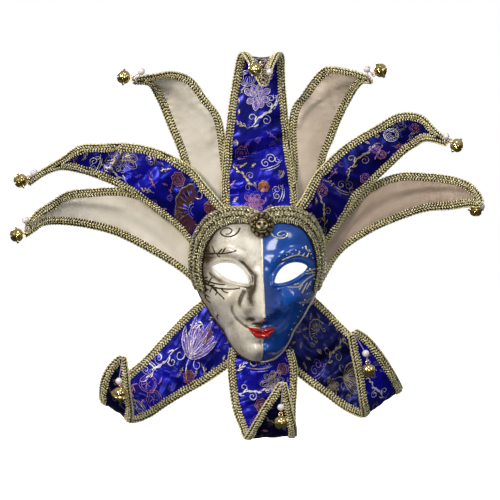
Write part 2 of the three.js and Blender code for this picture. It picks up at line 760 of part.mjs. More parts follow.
// Jingle bell: hollow dome and cup closed by a flange, slotted below, with a loop on top.
function bellSolid() {
  const rows = [...BELL_OUTSIDE, ...BELL_INSIDE];
  const profile = rows.map(([radius, height]) => new THREE.Vector2(radius, height));
  const body = new THREE.LatheGeometry(profile, BELL_SIDES);
  body.rotateX(Math.PI / 2);
  const slotHeight = BELL_OUTSIDE[0][1] * 2;
  const slot = new THREE.BoxGeometry(BELL_SLOT, slotHeight * 2, slotHeight);
  slot.translate(0, 0, BELL_SLOT_TOP - slotHeight / 2);
  const loop = new THREE.TorusGeometry(LOOP_RADIUS, LOOP_WIRE, LOOP_WIRE_SIDES, LOOP_STEPS);
  loop.rotateX(Math.PI / 2);
  loop.translate(0, 0, LOOP_HEIGHT);
  return solidFromGeometry(body)
    .subtract(solidFromGeometry(slot))
    .add(solidFromGeometry(loop))
    .asOriginal()
    .simplify(FLAT_CORNER);
}

// One point with its cloth, its braid, its pearl and its bell.
function brightPoint(name, drop, color, bell) {
  const place = name.replace('point_', '');
  const point = new THREE.Group();
  point.name = `${place}_with_bell`;
  point.add(meshOf(name, clothSolid(name), color, 0.6, 0));
  point.add(meshOf(`edging_${place}`, edgingSolid(name), PALE_GOLD, 0.5, 0.6));
  point.add(meshOf(`pearl_${place}`, pearlString(name, drop), PEARL_WHITE, 0.25, 0));
  const hanging = meshOf(`bell_${place}`, bell, BRASS, 0.2, 1);
  hanging.position.set(drop[3], drop[4], drop[5]);
  hanging.quaternion.copy(hangTurn(drop));
  point.add(hanging);
  return point;
}

// The whole mask.
const mask = new THREE.Group();
mask.name = 'masquerade_mask';
mask.add(meshOf('face_shell', faceShell(), IVORY, 0.5, 0));
mask.add(meshOf('brow_braid', browBraid(), PALE_GOLD, 0.5, 0.6));
mask.add(meshOf('lion_boss', lionBoss(), OLD_BRASS, 0.4, 1));

const bell = bellSolid();
for (const name of Object.keys(SECTIONS)) {
  const color = CREAM_POINTS.includes(name) ? CREAM : ROYAL_BLUE;
  mask.add(brightPoint(name, DROPS[name], color, bell));
}

export default mask;
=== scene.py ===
"""Masquerade mask of the jester kind.

A papier-mache face in two colours carries ten stiffened cloth points, each bound in gold braid and
ended by a pearl and a jingle bell. The tables are in millimetres, in the frame of the solids: +Z is
up, the face looks along -Y, and the origin is on the inside of the brow, behind the boss.
"""

from __future__ import annotations

import logging
import math
import sys
from dataclasses import dataclass, field
from enum import Enum, IntEnum
from typing import Callable, Sequence

import bmesh
import bpy
import numpy as np
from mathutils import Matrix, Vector

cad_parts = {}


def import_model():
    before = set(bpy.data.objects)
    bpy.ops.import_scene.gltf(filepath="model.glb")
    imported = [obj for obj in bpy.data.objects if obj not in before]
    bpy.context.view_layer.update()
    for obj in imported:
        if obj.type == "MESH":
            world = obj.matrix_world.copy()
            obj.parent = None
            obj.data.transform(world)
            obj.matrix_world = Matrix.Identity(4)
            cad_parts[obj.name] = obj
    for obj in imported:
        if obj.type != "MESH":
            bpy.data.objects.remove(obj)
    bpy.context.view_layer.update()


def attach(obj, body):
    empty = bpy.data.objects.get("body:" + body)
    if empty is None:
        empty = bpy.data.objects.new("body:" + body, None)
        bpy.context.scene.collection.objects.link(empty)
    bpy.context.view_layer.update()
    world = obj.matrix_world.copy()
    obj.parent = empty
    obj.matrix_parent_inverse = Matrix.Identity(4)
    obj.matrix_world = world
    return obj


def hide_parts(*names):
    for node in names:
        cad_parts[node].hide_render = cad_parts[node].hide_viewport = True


LOG = logging.getLogger("mask")
MM = 0.001
TURN = 2 * math.pi
TINY = 1e-9
BODY = "root"
Array = np.ndarray
Table = tuple[tuple[float, ...], ...]
Place = Callable[[float, float], Array]


# Small geometry


def unit(vectors: Array) -> Array:
    """Vectors of length one, row by row."""
    return vectors / np.maximum(np.linalg.norm(vectors, axis=-1, keepdims=True), TINY)


def full_turn(count: int) -> Array:
    """Angles of a number of even steps round a full turn."""
    return np.arange(count) / count * TURN


def round_ring(count: int) -> Array:
    """Points round a circle of radius one that lies flat."""
    turn = full_turn(count)
    return np.stack([np.cos(turn), np.sin(turn), np.zeros(count)], axis=-1)


def run_through(rows: Array, place: Array) -> Array:
    """Smooth run through the rows of a table.

    Args:
        rows: The table, one row for each station.
        place: Places counted in rows.

    Returns:
        The table's columns at each place.
    """
    last = len(rows) - 1
    k = np.clip(np.floor(place).astype(int), 0, last - 1)
    f = (place - k)[..., None]
    before, start = rows[np.maximum(k - 1, 0)], rows[k]
    end, after = rows[k + 1], rows[np.minimum(k + 2, last)]
    leave = (end - before) / np.where(k > 0, 2.0, 1.0)[..., None]
    arrive = (after - start) / np.where(k + 1 < last, 2.0, 1.0)[..., None]
    f2, f3 = f * f, f * f * f
    return (
        start * (2 * f3 - 3 * f2 + 1)
        + leave * (f3 - 2 * f2 + f)
        + end * (3 * f2 - 2 * f3)
        + arrive * (f3 - f2)
    )


def at_key(rows: Array, keys: Array, key: Array) -> Array:
    """Values of a table on a smooth run, at keys that rise from row to row."""
    held = np.clip(key, keys[0], keys[-1])
    return run_through(rows, np.interp(held, keys, np.arange(len(keys))))


def rows_at(rows: Array, keys: Array, key: Array) -> Array:
    """Values of a table on straight pieces, at keys that rise from row to row."""
    return np.stack([np.interp(key, keys, column) for column in rows.T], axis=-1)


def run_length(line: Array) -> Array:
    """Length of the way from the start of a line to each of its points."""
    return np.concatenate([[0.0], np.cumsum(np.linalg.norm(np.diff(line, axis=0), axis=1))])


def smooth_line(corners: Sequence[Sequence[float]] | Array, count: int) -> Array:
    """A smooth line of evenly spread points through the given corners.

    Args:
        corners: The corners, in order.
        count: Number of points.

    Returns:
        The points of the line.
    """
    corners = np.asarray(corners, float)
    fine = run_through(corners, np.linspace(0, len(corners) - 1, count * 6))
    gone = run_length(fine)
    return rows_at(fine, gone, np.linspace(0, gone[-1], count))


def nearest_on(points: Array, start: Array, end: Array) -> Array:
    """Places on a straight piece that lie nearest to flat points.

    Args:
        points: Flat places.
        start: Its first end.
        end: Its other end.

    Returns:
        The nearest places.
    """
    run = end - start
    share = np.clip(((points - start) @ run) / max(float(run @ run), TINY), 0, 1)
    return start + share[..., None] * run


def stroke_height(points: Array, strokes: Sequence[tuple], count: int) -> Array:
    """Height of soft ridges along lines.

    Args:
        points: Flat places.
        strokes: Height, half width and corners of each line.
        count: Number of points in each line.

    Returns:
        The height at each place.
    """
    height = np.zeros(points.shape[:-1])
    for high, wide, corners in strokes:
        line = smooth_line(corners, count)
        spots = [nearest_on(points, a, b) for a, b in zip(line[:-1], line[1:])]
        away = np.min([np.linalg.norm(points - spot, axis=-1) for spot in spots], axis=0)
        height += high * np.exp(-((away / wide) ** 2))
    return height


def bump_height(x: Array, z: Array, forms: Table) -> Array:
    """Height of rounded forms on both sides, from rows of x, z, height, spread in x and spread in z.

    Args:
        x: Places to the side.
        z: Places up.
        forms: The rows of the forms.

    Returns:
        The height at each place.
    """
    height = np.zeros(np.shape(x))
    for form_x, form_z, high, wide, tall in forms:
        height += high * np.exp(-(((np.abs(x) - form_x) / wide) ** 2) - ((z - form_z) / tall) ** 2)
    return height


def soften(values: Array, passes: int) -> Array:
    """Values on rings of points, spread over their neighbours a number of times.

    Args:
        values: The values, ring by ring.
        passes: How often they spread.

    Returns:
        The softened values.
    """
    for _ in range(passes):
        values = (values * 2 + np.roll(values, 1, 1) + np.roll(values, -1, 1)) / 4
        values[1:-1] = (values[1:-1] * 2 + values[2:] + values[:-2]) / 4
    return values


def carried_frame(path: Array, start: Sequence[float], ring: bool = False) -> tuple[Array, Array, Array]:
    """Directions along a path that turn no more than it does.

    Args:
        path: The points of the path.
        start: A direction that the first one across is made from.
        ring: Whether the path closes on itself.

    Returns:
        The directions ahead, across and square to both.
    """
    if ring:
        ahead = unit(np.roll(path, -1, 0) - np.roll(path, 1, 0))
    else:
        ahead = unit(np.gradient(path, axis=0))
    across = np.zeros_like(path)
    held = np.array(start)
    for n, way in enumerate(ahead):
        held = unit(held - way * (held @ way))
        across[n] = held
    return ahead, across, np.cross(ahead, across)


def grid_faces(rows: int, columns: int, wrap: bool = False, flip: bool = False) -> Array:
    """Four-sided faces of a grid of points.

    Args:
        rows: Number of rows.
        columns: Number of points in a row.
        wrap: Whether each row closes on itself.
        flip: Whether the faces look the other way.

    Returns:
        The corners of each face.
    """
    i = np.arange(rows - 1)[:, None] * columns
    j = np.arange(columns if wrap else columns - 1)[None, :]
    k = (j + 1) % columns
    faces = np.stack([i + j, i + k, i + columns + k, i + columns + j], axis=-1).reshape(-1, 4)
    return faces[:, ::-1] if flip else faces


def fan_faces(count: int, middle: int) -> Array:
    """Three-sided faces from a ring of points to its middle."""
    j = np.arange(count)
    return np.stack([np.full(count, middle), j, (j + 1) % count], axis=-1)


@dataclass
class MeshParts:
    """Parts of one piece, gathered in millimetres before they become one mesh."""

    points: list[Array] = field(default_factory=list)
    values: list[dict[str, Array]] = field(default_factory=list)
    faces: list[Array] = field(default_factory=list)
    finish: list[Array] = field(default_factory=list)
    count: int = 0

    def add(self, points: Array, faces: Array, finish: int | Array = 0, **values: Array) -> int:
        """Adds one part.

        Args:
            points: Its points.
            faces: Its faces, all of three or all of four corners.
            finish: The place of its finish in the piece's list, for all faces or face by face.
            **values: Named values for each point, which the finish reads.

        Returns:
            The number of its first point.
        """
        points = np.asarray(points, float).reshape(-1, 3)
        base = self.count
        self.points.append(points)
        self.values.append(values)
        self.count += len(points)
        self.add_faces(base, faces, finish)
        return base

    def add_faces(self, base: int, faces: Array, finish: int | Array = 0) -> None:
        """Adds faces to the points of a part that starts at the given number."""
        self.faces.append(np.asarray(faces) + base)
        self.finish.append(np.broadcast_to(finish, len(faces)))

    def close(self, ring: Array, middle: Array, finish: int = 0, flip: bool = False) -> None:
        """Closes a ring of points with faces to its middle."""
        fan = fan_faces(len(ring), len(ring))
        self.add(np.concatenate([ring, [middle]]), fan[:, ::-1] if flip else fan, finish)

    def tube(
        self, path: Array, radius: Array | float, sides: int, finish: int = 0, ring: bool = False
    ) -> None:
        """Adds a round tube with closed ends along a path.

        Args:
            path: The points that it follows.
            radius: Its radius, for the whole path or point by point.
            sides: Number of sides.
            finish: The place of its finish.
            ring: Whether the path closes on itself.
        """
        count = len(path)
        radii = np.broadcast_to(radius, count)
        ahead, across, other = carried_frame(path, (0.31, 0.52, 0.8), ring)
        turn = full_turn(sides)[None, :, None]
        around = across[:, None] * np.cos(turn) + other[:, None] * np.sin(turn)
        skin = path[:, None] + radii[:, None, None] * around
        rows = count + 1 if ring else count
        self.add(skin, grid_faces(rows, sides, wrap=True) % (count * sides), finish)
        if ring:
            return
        for end, way in ((0, -1), (count - 1, 1)):
            reach = ahead[end] * way * radii[end] * 0.6
            self.close(skin[end], path[end] + reach, finish, flip=way < 0)

    def spindles(self, centres: Array, along: Array, across: Array, up: Array, finish: int = 0) -> None:
        """Adds many small spindles, the shape of one bright pass of thread.

        Args:
            centres: Middle of each one.
            along: Half of each one's length, as a vector.
            across: Half of its width, as a vector.
            up: Half of its height, as a vector.
            finish: The place of their finish.
        """
        sides, swell = 6, 0.95
        turn = full_turn(sides)[None, :, None]
        girth = (across[:, None] * np.cos(turn) + up[:, None] * np.sin(turn)) * swell
        rings = [centres[:, None] + along[:, None] * share + girth for share in (-0.5, 0.5)]
        tips = np.stack([centres - along, centres + along], axis=1)
        points = np.concatenate([*rings, tips], axis=1)
        shift = (np.arange(len(centres)) * points.shape[1])[:, None, None]
        quads = grid_faces(2, sides, wrap=True, flip=True)
        high = np.where(fan_faces(sides, -1) < 0, 2 * sides + 1, fan_faces(sides, -1) + sides)
        caps = np.concatenate([fan_faces(sides, 2 * sides), high[:, ::-1]])
        base = self.add(points, (quads + shift).reshape(-1, 4), finish)
        self.add_faces(base, (caps + shift).reshape(-1, 3), finish)

    def lathe(self, profile: Array, sides: int, finish: int = 0) -> None:
        """Adds a turned form with its axis along Z, from rows of radius and height."""
        points = profile[:, None, :1] * round_ring(sides) + profile[:, None, 1:] * (0.0, 0.0, 1.0)
        self.add(points, grid_faces(len(profile), sides, wrap=True, flip=True), finish)

    def to_object(
        self, name: str, finishes: Sequence[bpy.types.Material], crease: float = 42.0
    ) -> bpy.types.Object:
        """Makes the mesh object.

        Args:
            name: Name of the piece.
            finishes: Its materials.
            crease: Angle in degrees above which an edge stays sharp.

        Returns:
            The new object, linked to the scene.
        """
        corners = np.concatenate([faces.ravel() for faces in self.faces])
        used, corners = np.unique(corners, return_inverse=True)
        points = np.concatenate(self.points)[used] * MM
        sizes = np.concatenate([np.full(len(faces), faces.shape[1]) for faces in self.faces])
        starts = np.concatenate([[0], np.cumsum(sizes)[:-1]])
        mesh = bpy.data.meshes.new(name)
        mesh.vertices.add(len(points))
        mesh.vertices.foreach_set("co", points.astype(np.float32).ravel())
        mesh.loops.add(len(corners))
        mesh.loops.foreach_set("vertex_index", corners.astype(np.int32))
        mesh.polygons.add(len(sizes))
        mesh.polygons.foreach_set("loop_start", starts.astype(np.int32))
        for finish in finishes:
            mesh.materials.append(finish)
        mesh.polygons.foreach_set("material_index", np.concatenate(self.finish).astype(np.int32))
        mesh.update(calc_edges=True)
        for key in sorted({key for part in self.values for key in part}):
            parts = [
                np.asarray(part.get(key, np.zeros(len(points_of))), float).ravel()
                for part, points_of in zip(self.values, self.points)
            ]
            value = mesh.attributes.new(key, "FLOAT", "POINT")
            value.data.foreach_set("value", np.concatenate(parts)[used].astype(np.float32))
        mesh.validate()
        mesh.shade_smooth()
        mesh.set_sharp_from_angle(angle=math.radians(crease))
        piece = bpy.data.objects.new(name, mesh)
        bpy.context.scene.collection.objects.link(piece)
        return piece


def settle(piece: bpy.types.Object, slot: str, *nodes: str) -> bpy.types.Object:
    """Lets a piece ride on the mask, hides the solids that it stands for, and logs it.

    Args:
        piece: The piece.
        slot: Not used.
        *nodes: The solids that it stands for.

    Returns:
        The piece.
    """
    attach(piece, BODY)
    if nodes:
        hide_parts(*nodes)
    LOG.info("%s: %d faces", piece.name, len(piece.data.polygons))
    return piece


# Finishes


def linear(colour: str) -> tuple[float, float, float, float]:
    """Linear colour from an sRGB hex value such as #1a10a0.

    Args:
        colour: The hex value.

    Returns:
        Red, green, blue and alpha.
    """
    parts = [int(colour[i:i + 2], 16) / 255 for i in (1, 3, 5)]
    r, g, b = (p / 12.92 if p <= 0.04045 else ((p + 0.055) / 1.055) ** 2.4 for p in parts)
    return (r, g, b, 1.0)


def per_metre(size_mm: float) -> float:
    """Scale of a pattern whose feature has this size."""
    return 1 / (size_mm * MM)


class Surface:
    """A material, or the air of the studio, while its nodes are put together."""

    def __init__(self, owner: bpy.types.Material | bpy.types.World) -> None:
        """Opens the nodes of a new material or world and finds its shader.

        Args:
            owner: The new material or world.
        """
        owner.use_nodes = True
        self.owner = owner
        self.tree = owner.node_tree
        shaders = ("BSDF_PRINCIPLED", "BACKGROUND")
        self.shader = next(node for node in self.tree.nodes if node.type in shaders)

    @classmethod
    def named(cls, name: str) -> Surface:
        """A new material."""
        return cls(bpy.data.materials.new(name))

    def fill(self, socket: bpy.types.NodeSocket, value: object) -> None:
        """Links a socket to another node's output, or sets it to a number or a hex colour.

        Args:
            socket: The socket.
            value: What it takes.
        """
        if isinstance(value, bpy.types.NodeSocket):
            self.tree.links.new(value, socket)
        else:
            socket.default_value = linear(value) if isinstance(value, str) else value

    def add(
        self,
        kind: str,
        *values: object,
        out: str = "",
        inputs: dict[str, object] | None = None,
        **settings: object,
    ) -> bpy.types.NodeSocket:
        """Adds one node with its settings and links.

        Args:
            kind: Kind of node.
            *values: What its open inputs take, in their order.
            out: Name of the output that is wanted; without one it is the first open output.
            inputs: What further inputs take, by name.
            **settings: Properties of the node.

        Returns:
            The output.
        """
        node = self.tree.nodes.new(f"ShaderNode{kind}")
        for key, value in settings.items():
            setattr(node, key, value)
        for socket, value in zip([socket for socket in node.inputs if socket.enabled], values):
            self.fill(socket, value)
        for key, value in (inputs or {}).items():
            self.fill(node.inputs[key], value)
        return node.outputs[out] if out else next(socket for socket in node.outputs if socket.enabled)

    def dress(self, looks: dict[str, object]) -> bpy.types.Material | bpy.types.World:
        """Fills the shader's own sockets and gives the finished material or world.

        Args:
            looks: What each socket takes, by name.

        Returns:
            The finished material or world.
        """
        for key, value in looks.items():
            self.fill(self.shader.inputs[key], value)
        return self.owner


class Half(Enum):
    """The two painted halves of the face."""

    IVORY = "ivory"
    COBALT = "cobalt"


@dataclass(frozen=True)
class FacePaint:
    """Paint on papier-mache: ivory with brown antiquing left in the hollows, or glossy cobalt enamel.

    The brown darkens each groove, which gives the ivory half its age; where it runs along the nose flank
    and towards the rim under the brow braid it is partly painted shade. The cobalt half is painted a deeper
    blue in its hollows, along the same strokes and towards the rim, which is painted shade. The enamel is
    smooth and mirrors the lamps. Both halves share the red of the lips.
    """

    half: Half
    ivory: str = "#e9e5d9"
    ivory_worn: str = "#d4cab5"
    wash_and_shade: str = "#43341f"
    cobalt: str = "#0b52b0"
    cobalt_deep: str = "#083c98"
    cobalt_shade: str = "#04154a"
    lips: str = "#b41d16"
    cloud_mm: float = 22.0
    grain_mm: float = 2.5

    def build(self) -> bpy.types.Material:
        """Makes the material.

        Returns:
            The material.
        """
        paint = Surface.named(f"{self.half.value}_paint_on_papier_mache")
        place = paint.add("TexCoord", out="Object")
        cloud = paint.add("TexNoise", place, per_metre(self.cloud_mm), 4.0)
        grain = paint.add("TexNoise", place, per_metre(self.grain_mm), 6.0)
        hollow = paint.add("Attribute", out="Fac", attribute_name="hollow")
        lip = paint.add("Attribute", out="Fac", attribute_name="lip")
        on_lip = paint.add("MapRange", lip, 0.88, 1.12)
        patches = paint.add("MapRange", cloud, 0.35, 0.7)
        if self.half is Half.IVORY:
            # Brown antiquing laid by the hollow value: real antiquing in the grooves, partly painted shade
            # along the nose flank and towards the rim.
            broken = paint.add("Math", grain, 0.4, hollow, operation="MULTIPLY_ADD")
            broken = paint.add("Math", patches, 0.22, broken, operation="MULTIPLY_ADD")
            ground = paint.add("Mix", patches, self.ivory, self.ivory_worn, data_type="RGBA")
            darkening = paint.add("MapRange", broken, 0.3, 0.95)
            colour = paint.add("Mix", darkening, ground, self.wash_and_shade, data_type="RGBA")
            dull, bright, coat, coat_dull = 0.4, 0.2, 0.45, 0.2
        else:
            ground = paint.add("Mix", patches, self.cobalt, self.cobalt_deep, data_type="RGBA")
            # Painted shade: the cobalt turns deep blue in the hollows, along the strokes and towards the
            # rim.
            darkening = paint.add("MapRange", hollow, 0.15, 1.4, 0.0, 0.5)
            colour = paint.add("Mix", darkening, ground, self.cobalt_shade, data_type="RGBA")
            dull, bright, coat, coat_dull = 0.2, 0.16, 0.8, 0.06
        swell = paint.add("Bump", 0.22, 0.0004, inputs={"Height": cloud})
        return paint.dress({
            "Base Color": paint.add("Mix", on_lip, colour, self.lips, data_type="RGBA"),
            "Roughness": paint.add("MapRange", on_lip, 0.0, 1.0, dull, bright),
            "Coat Weight": coat,
            "Coat Roughness": coat_dull,
            "Normal": paint.add("Bump", 0.1, 0.0002, inputs={"Height": grain, "Normal": swell}),
        })


@dataclass(frozen=True)
class BareMache:
    """Bare papier-mache inside the mask: torn paper laid in paste, matt, with the edges of the strips."""

    paper: str = "#b7a88c"
    paste: str = "#8f7f63"
    tear_mm: float = 12.0
    strip_mm: float = 30.0
    fibre_mm: float = 1.8

    def build(self) -> bpy.types.Material:
        """Makes the material.

        Returns:
            The material.
        """
        mache = Surface.named("bare_papier_mache")
        place = mache.add("TexCoord", out="Object")
        drift = mache.add("TexNoise", place, per_metre(self.tear_mm), 3.0, out="Color")
        torn = mache.add("VectorMath", drift, (self.tear_mm * MM,) * 3, place, operation="MULTIPLY_ADD")
        scale = per_metre(self.strip_mm)
        seam = mache.add("TexVoronoi", torn, scale, feature="DISTANCE_TO_EDGE")
        tone = mache.add("TexVoronoi", torn, scale, out="Color", feature="F1")
        fibre = mache.add("TexNoise", place, per_metre(self.fibre_mm), 8.0)
        edge = mache.add("MapRange", seam, 0.0, 0.05, 0.55, 1.0)
        colour = mache.add("Mix", edge, self.paste, self.paper, data_type="RGBA")
        tone = mache.add("Mix", 0.5, tone, self.paper, data_type="RGBA")
        colour = mache.add("Mix", 0.12, colour, tone, data_type="RGBA")
        hairs = mache.add("MapRange", fibre, 0.35, 0.8, 0.0, 0.5)
        step = mache.add("Bump", 0.25, 0.0004, inputs={"Height": edge})
        return mache.dress({
            "Base Color": mache.add("Mix", hairs, colour, self.paste, data_type="RGBA"),
            "Roughness": 0.85,
            "Normal": mache.add("Bump", 0.3, 0.0003, inputs={"Height": fibre, "Normal": step}),
        })


@dataclass(frozen=True)
class Satin:
    """Satin weave: long floats of thread that shine along the cloth, with fine slubs across it.

    Real threads lie about 0.2 mm apart. The slubs are drawn about 1.3 mm wide so that they show, and
    they are drawn out along the threads by the two stretches. The floats take the lighter colour: partly
    the tone of the slubs, partly painted sheen. Broad patches of the darker colour are painted shade,
    standing for folds in shadow.
    """

    name: str
    ground: str
    light: str
    painted_shade: str
    sheen: str
    roughness: float = 0.42
    gloss: float = 0.5
    slub_mm: float = 1.3
    cloud_mm: float = 34.0
    long_mm: float = 1000.0
    warp_stretch: float = 0.06
    weft_stretch: float = 0.09

    def build(self) -> bpy.types.Material:
        """Makes the material.

        Returns:
            The material.
        """
        satin = Surface.named(self.name)
        across = satin.add("Attribute", out="Fac", attribute_name="across")
        along = satin.add("Attribute", out="Fac", attribute_name="along")
        far = self.long_mm
        short_along = satin.add("MapRange", along, 0.0, far, 0.0, far * self.warp_stretch)
        short_across = satin.add("MapRange", across, 0.0, far, 0.0, far * self.weft_stretch)
        warp = satin.add("CombineXYZ", across, short_along)
        weft = satin.add("CombineXYZ", short_across, along)
        tall, wide = (satin.add("TexNoise", way, 1 / self.slub_mm, 3.0) for way in (warp, weft))
        place = satin.add("TexCoord", out="Object")
        cloud = satin.add("TexNoise", place, per_metre(self.cloud_mm), 2.0)
        weave = satin.add("Math", tall, wide, operation="ADD")
        # Painted shade: broad patches of the darker colour stand for folds that fall into shade.
        soft = satin.add("MapRange", cloud, 0.42, 0.58)
        colour = satin.add("Mix", soft, self.ground, self.painted_shade, data_type="RGBA")
        # Partly painted sheen, partly the tone of the slubs: the floats of the weave take the lighter
        # colour.
        slub_and_sheen_share = satin.add("MapRange", weave, 0.85, 1.35, 0.0, 0.55)
        dull, bright = self.roughness + 0.06, self.roughness - 0.06
        return satin.dress({
            "Base Color": satin.add("Mix", slub_and_sheen_share, colour, self.light, data_type="RGBA"),
            "Roughness": satin.add("MapRange", weave, 0.7, 1.3, dull, bright),
            "IOR": 1.62,
            "Specular IOR Level": self.gloss,
            "Specular Tint": self.sheen,
            "Sheen Weight": 0.1,
            "Sheen Roughness": 0.4,
            "Sheen Tint": self.sheen,
            "Normal": satin.add("Bump", 0.25, 0.00025, inputs={"Height": weave}),
        })


@dataclass(frozen=True)
class MetalThread:
    """Metallic thread: a bright film wound on a core, which breaks the light into small streaks."""

    name: str
    bright: str
    dark: str
    metallic: float = 0.75
    roughness: float = 0.36
    streak_mm: float = 0.9

    def build(self) -> bpy.types.Material:
        """Makes the material.

        Returns:
            The material.
        """
        thread = Surface.named(self.name)
        place = thread.add("TexCoord", out="Object")
        streak = thread.add("TexNoise", place, per_metre(self.streak_mm), 3.0)
        share = thread.add("MapRange", streak, 0.36, 0.66)
        dull, bright = self.roughness + 0.14, self.roughness - 0.06
        return thread.dress({
            "Base Color": thread.add("Mix", share, self.dark, self.bright, data_type="RGBA"),
            "Roughness": thread.add("MapRange", streak, 0.3, 0.7, dull, bright),
            "Metallic": self.metallic,
            "Normal": thread.add("Bump", 0.35, 0.0002, inputs={"Height": share}),
        })


@dataclass(frozen=True)
class CastBrass:
    """Cast brass darkened by age: black-brown in the hollows, rubbed to warm metal on the heights."""

    rubbed: str = "#d2c59c"
    aged: str = "#5a4c36"
    black: str = "#1a150d"
    mottle_mm: float = 2.2

    def build(self) -> bpy.types.Material:
        """Makes the material.

        Returns:
            The material.
        """
        brass = Surface.named("antique_cast_brass")
        place = brass.add("TexCoord", out="Object")
        mottle = brass.add("TexNoise", place, per_metre(self.mottle_mm), 5.0)
        hollow = brass.add("Attribute", out="Fac", attribute_name="hollow")
        uneven = brass.add("Math", mottle, 0.5, hollow, operation="MULTIPLY_ADD")
        aged, blackened = (brass.add("MapRange", uneven, low, low + 0.5) for low in (0.1, 0.6))
        colour = brass.add("Mix", aged, self.rubbed, self.aged, data_type="RGBA")
        return brass.dress({
            "Base Color": brass.add("Mix", blackened, colour, self.black, data_type="RGBA"),
            "Roughness": brass.add("MapRange", uneven, 0.1, 0.9, 0.3, 0.62),
            "Metallic": 0.9,
            "Normal": brass.add("Bump", 0.3, 0.0003, inputs={"Height": mottle}),
        })


@dataclass(frozen=True)
class SpunBrass:
    """Spun and polished pale brass: nearly a mirror, with faint polishing marks and a little tarnish."""

    bright: str = "#f3dd98"
    tarnish: str = "#a8843a"
    cloud_mm: float = 7.0
    mark_mm: float = 0.8

    def build(self) -> bpy.types.Material:
        """Makes the material.

        Returns:
            The material.
        """
        brass = Surface.named("polished_spun_brass")
        place = brass.add("TexCoord", out="Object")
        cloud = brass.add("TexNoise", place, per_metre(self.cloud_mm), 4.0)
        marks = brass.add("TexNoise", place, per_metre(self.mark_mm), 2.0)
        share = brass.add("MapRange", cloud, 0.45, 0.75)
        return brass.dress({
            "Base Color": brass.add("Mix", share, self.bright, self.tarnish, data_type="RGBA"),
            "Roughness": brass.add("MapRange", cloud, 0.3, 0.8, 0.1, 0.24),
            "Metallic": 1.0,
            "Normal": brass.add("Bump", 0.02, 0.0001, inputs={"Height": marks}),
        })


@dataclass(frozen=True)
class Lustre:
    """Smooth coated surface, for the pearl beads and for thread: soft white or lilac under a clear skin."""

    name: str
    light: str
    dark: str
    roughness: float
    coat: float
    mottle_mm: float

    def build(self) -> bpy.types.Material:
        """Makes the material.

        Returns:
            The material.
        """
        skin = Surface.named(self.name)
        place = skin.add("TexCoord", out="Object")
        cloud = skin.add("TexNoise", place, per_metre(self.mottle_mm), 3.0)
        share = skin.add("MapRange", cloud, 0.35, 0.7)
        dull = self.roughness + 0.08
        return skin.dress({
            "Base Color": skin.add("Mix", share, self.light, self.dark, data_type="RGBA"),
            "Roughness": skin.add("MapRange", cloud, 0.3, 0.7, self.roughness, dull),
            "Coat Weight": self.coat,
            "Coat Roughness": 0.08,
        })


class Ware(Enum):
    """Cloth of a point. Some are copies of one cloth, darker to paint the shade on points in shade."""

    BROCADE = "royal blue brocade"
    COOL_CREAM = "cool cream satin"
    # Painted shade: a warmer cream, also darker to paint the shade on the right-hand points.
    ROSE_CREAM_IN_SHADE = "rose cream satin"
    # Painted shade: the cream darker still, for the lower right point.
    CREAM_IN_DEEP_SHADE = "dusky cream satin"
    # Painted shade: the royal blue brocade darker, for a point in shade.
    BROCADE_IN_SHADE = "midnight blue brocade"
    # Painted shade: the royal blue brocade nearly black, for the point in deepest shade and the shaded
    # insides of folds.
    BLACK_BROCADE = "blue-black brocade"

    @property
    def slot(self) -> str:
        """The record's slot for this cloth."""
        return "blue_brocade" if "brocade" in self.value else "cream_satin"


class Thread(IntEnum):
    """Threads of the brocade, in the order of the finishes."""

    GOLD = 0
    SILVER = 1
    ROSE = 2
    MAROON = 3
    COPPER = 4
    LILAC = 5
    # Painted shade: a dimmed copy of the gold thread, for figures on cloth in shade.
    BRONZE = 6


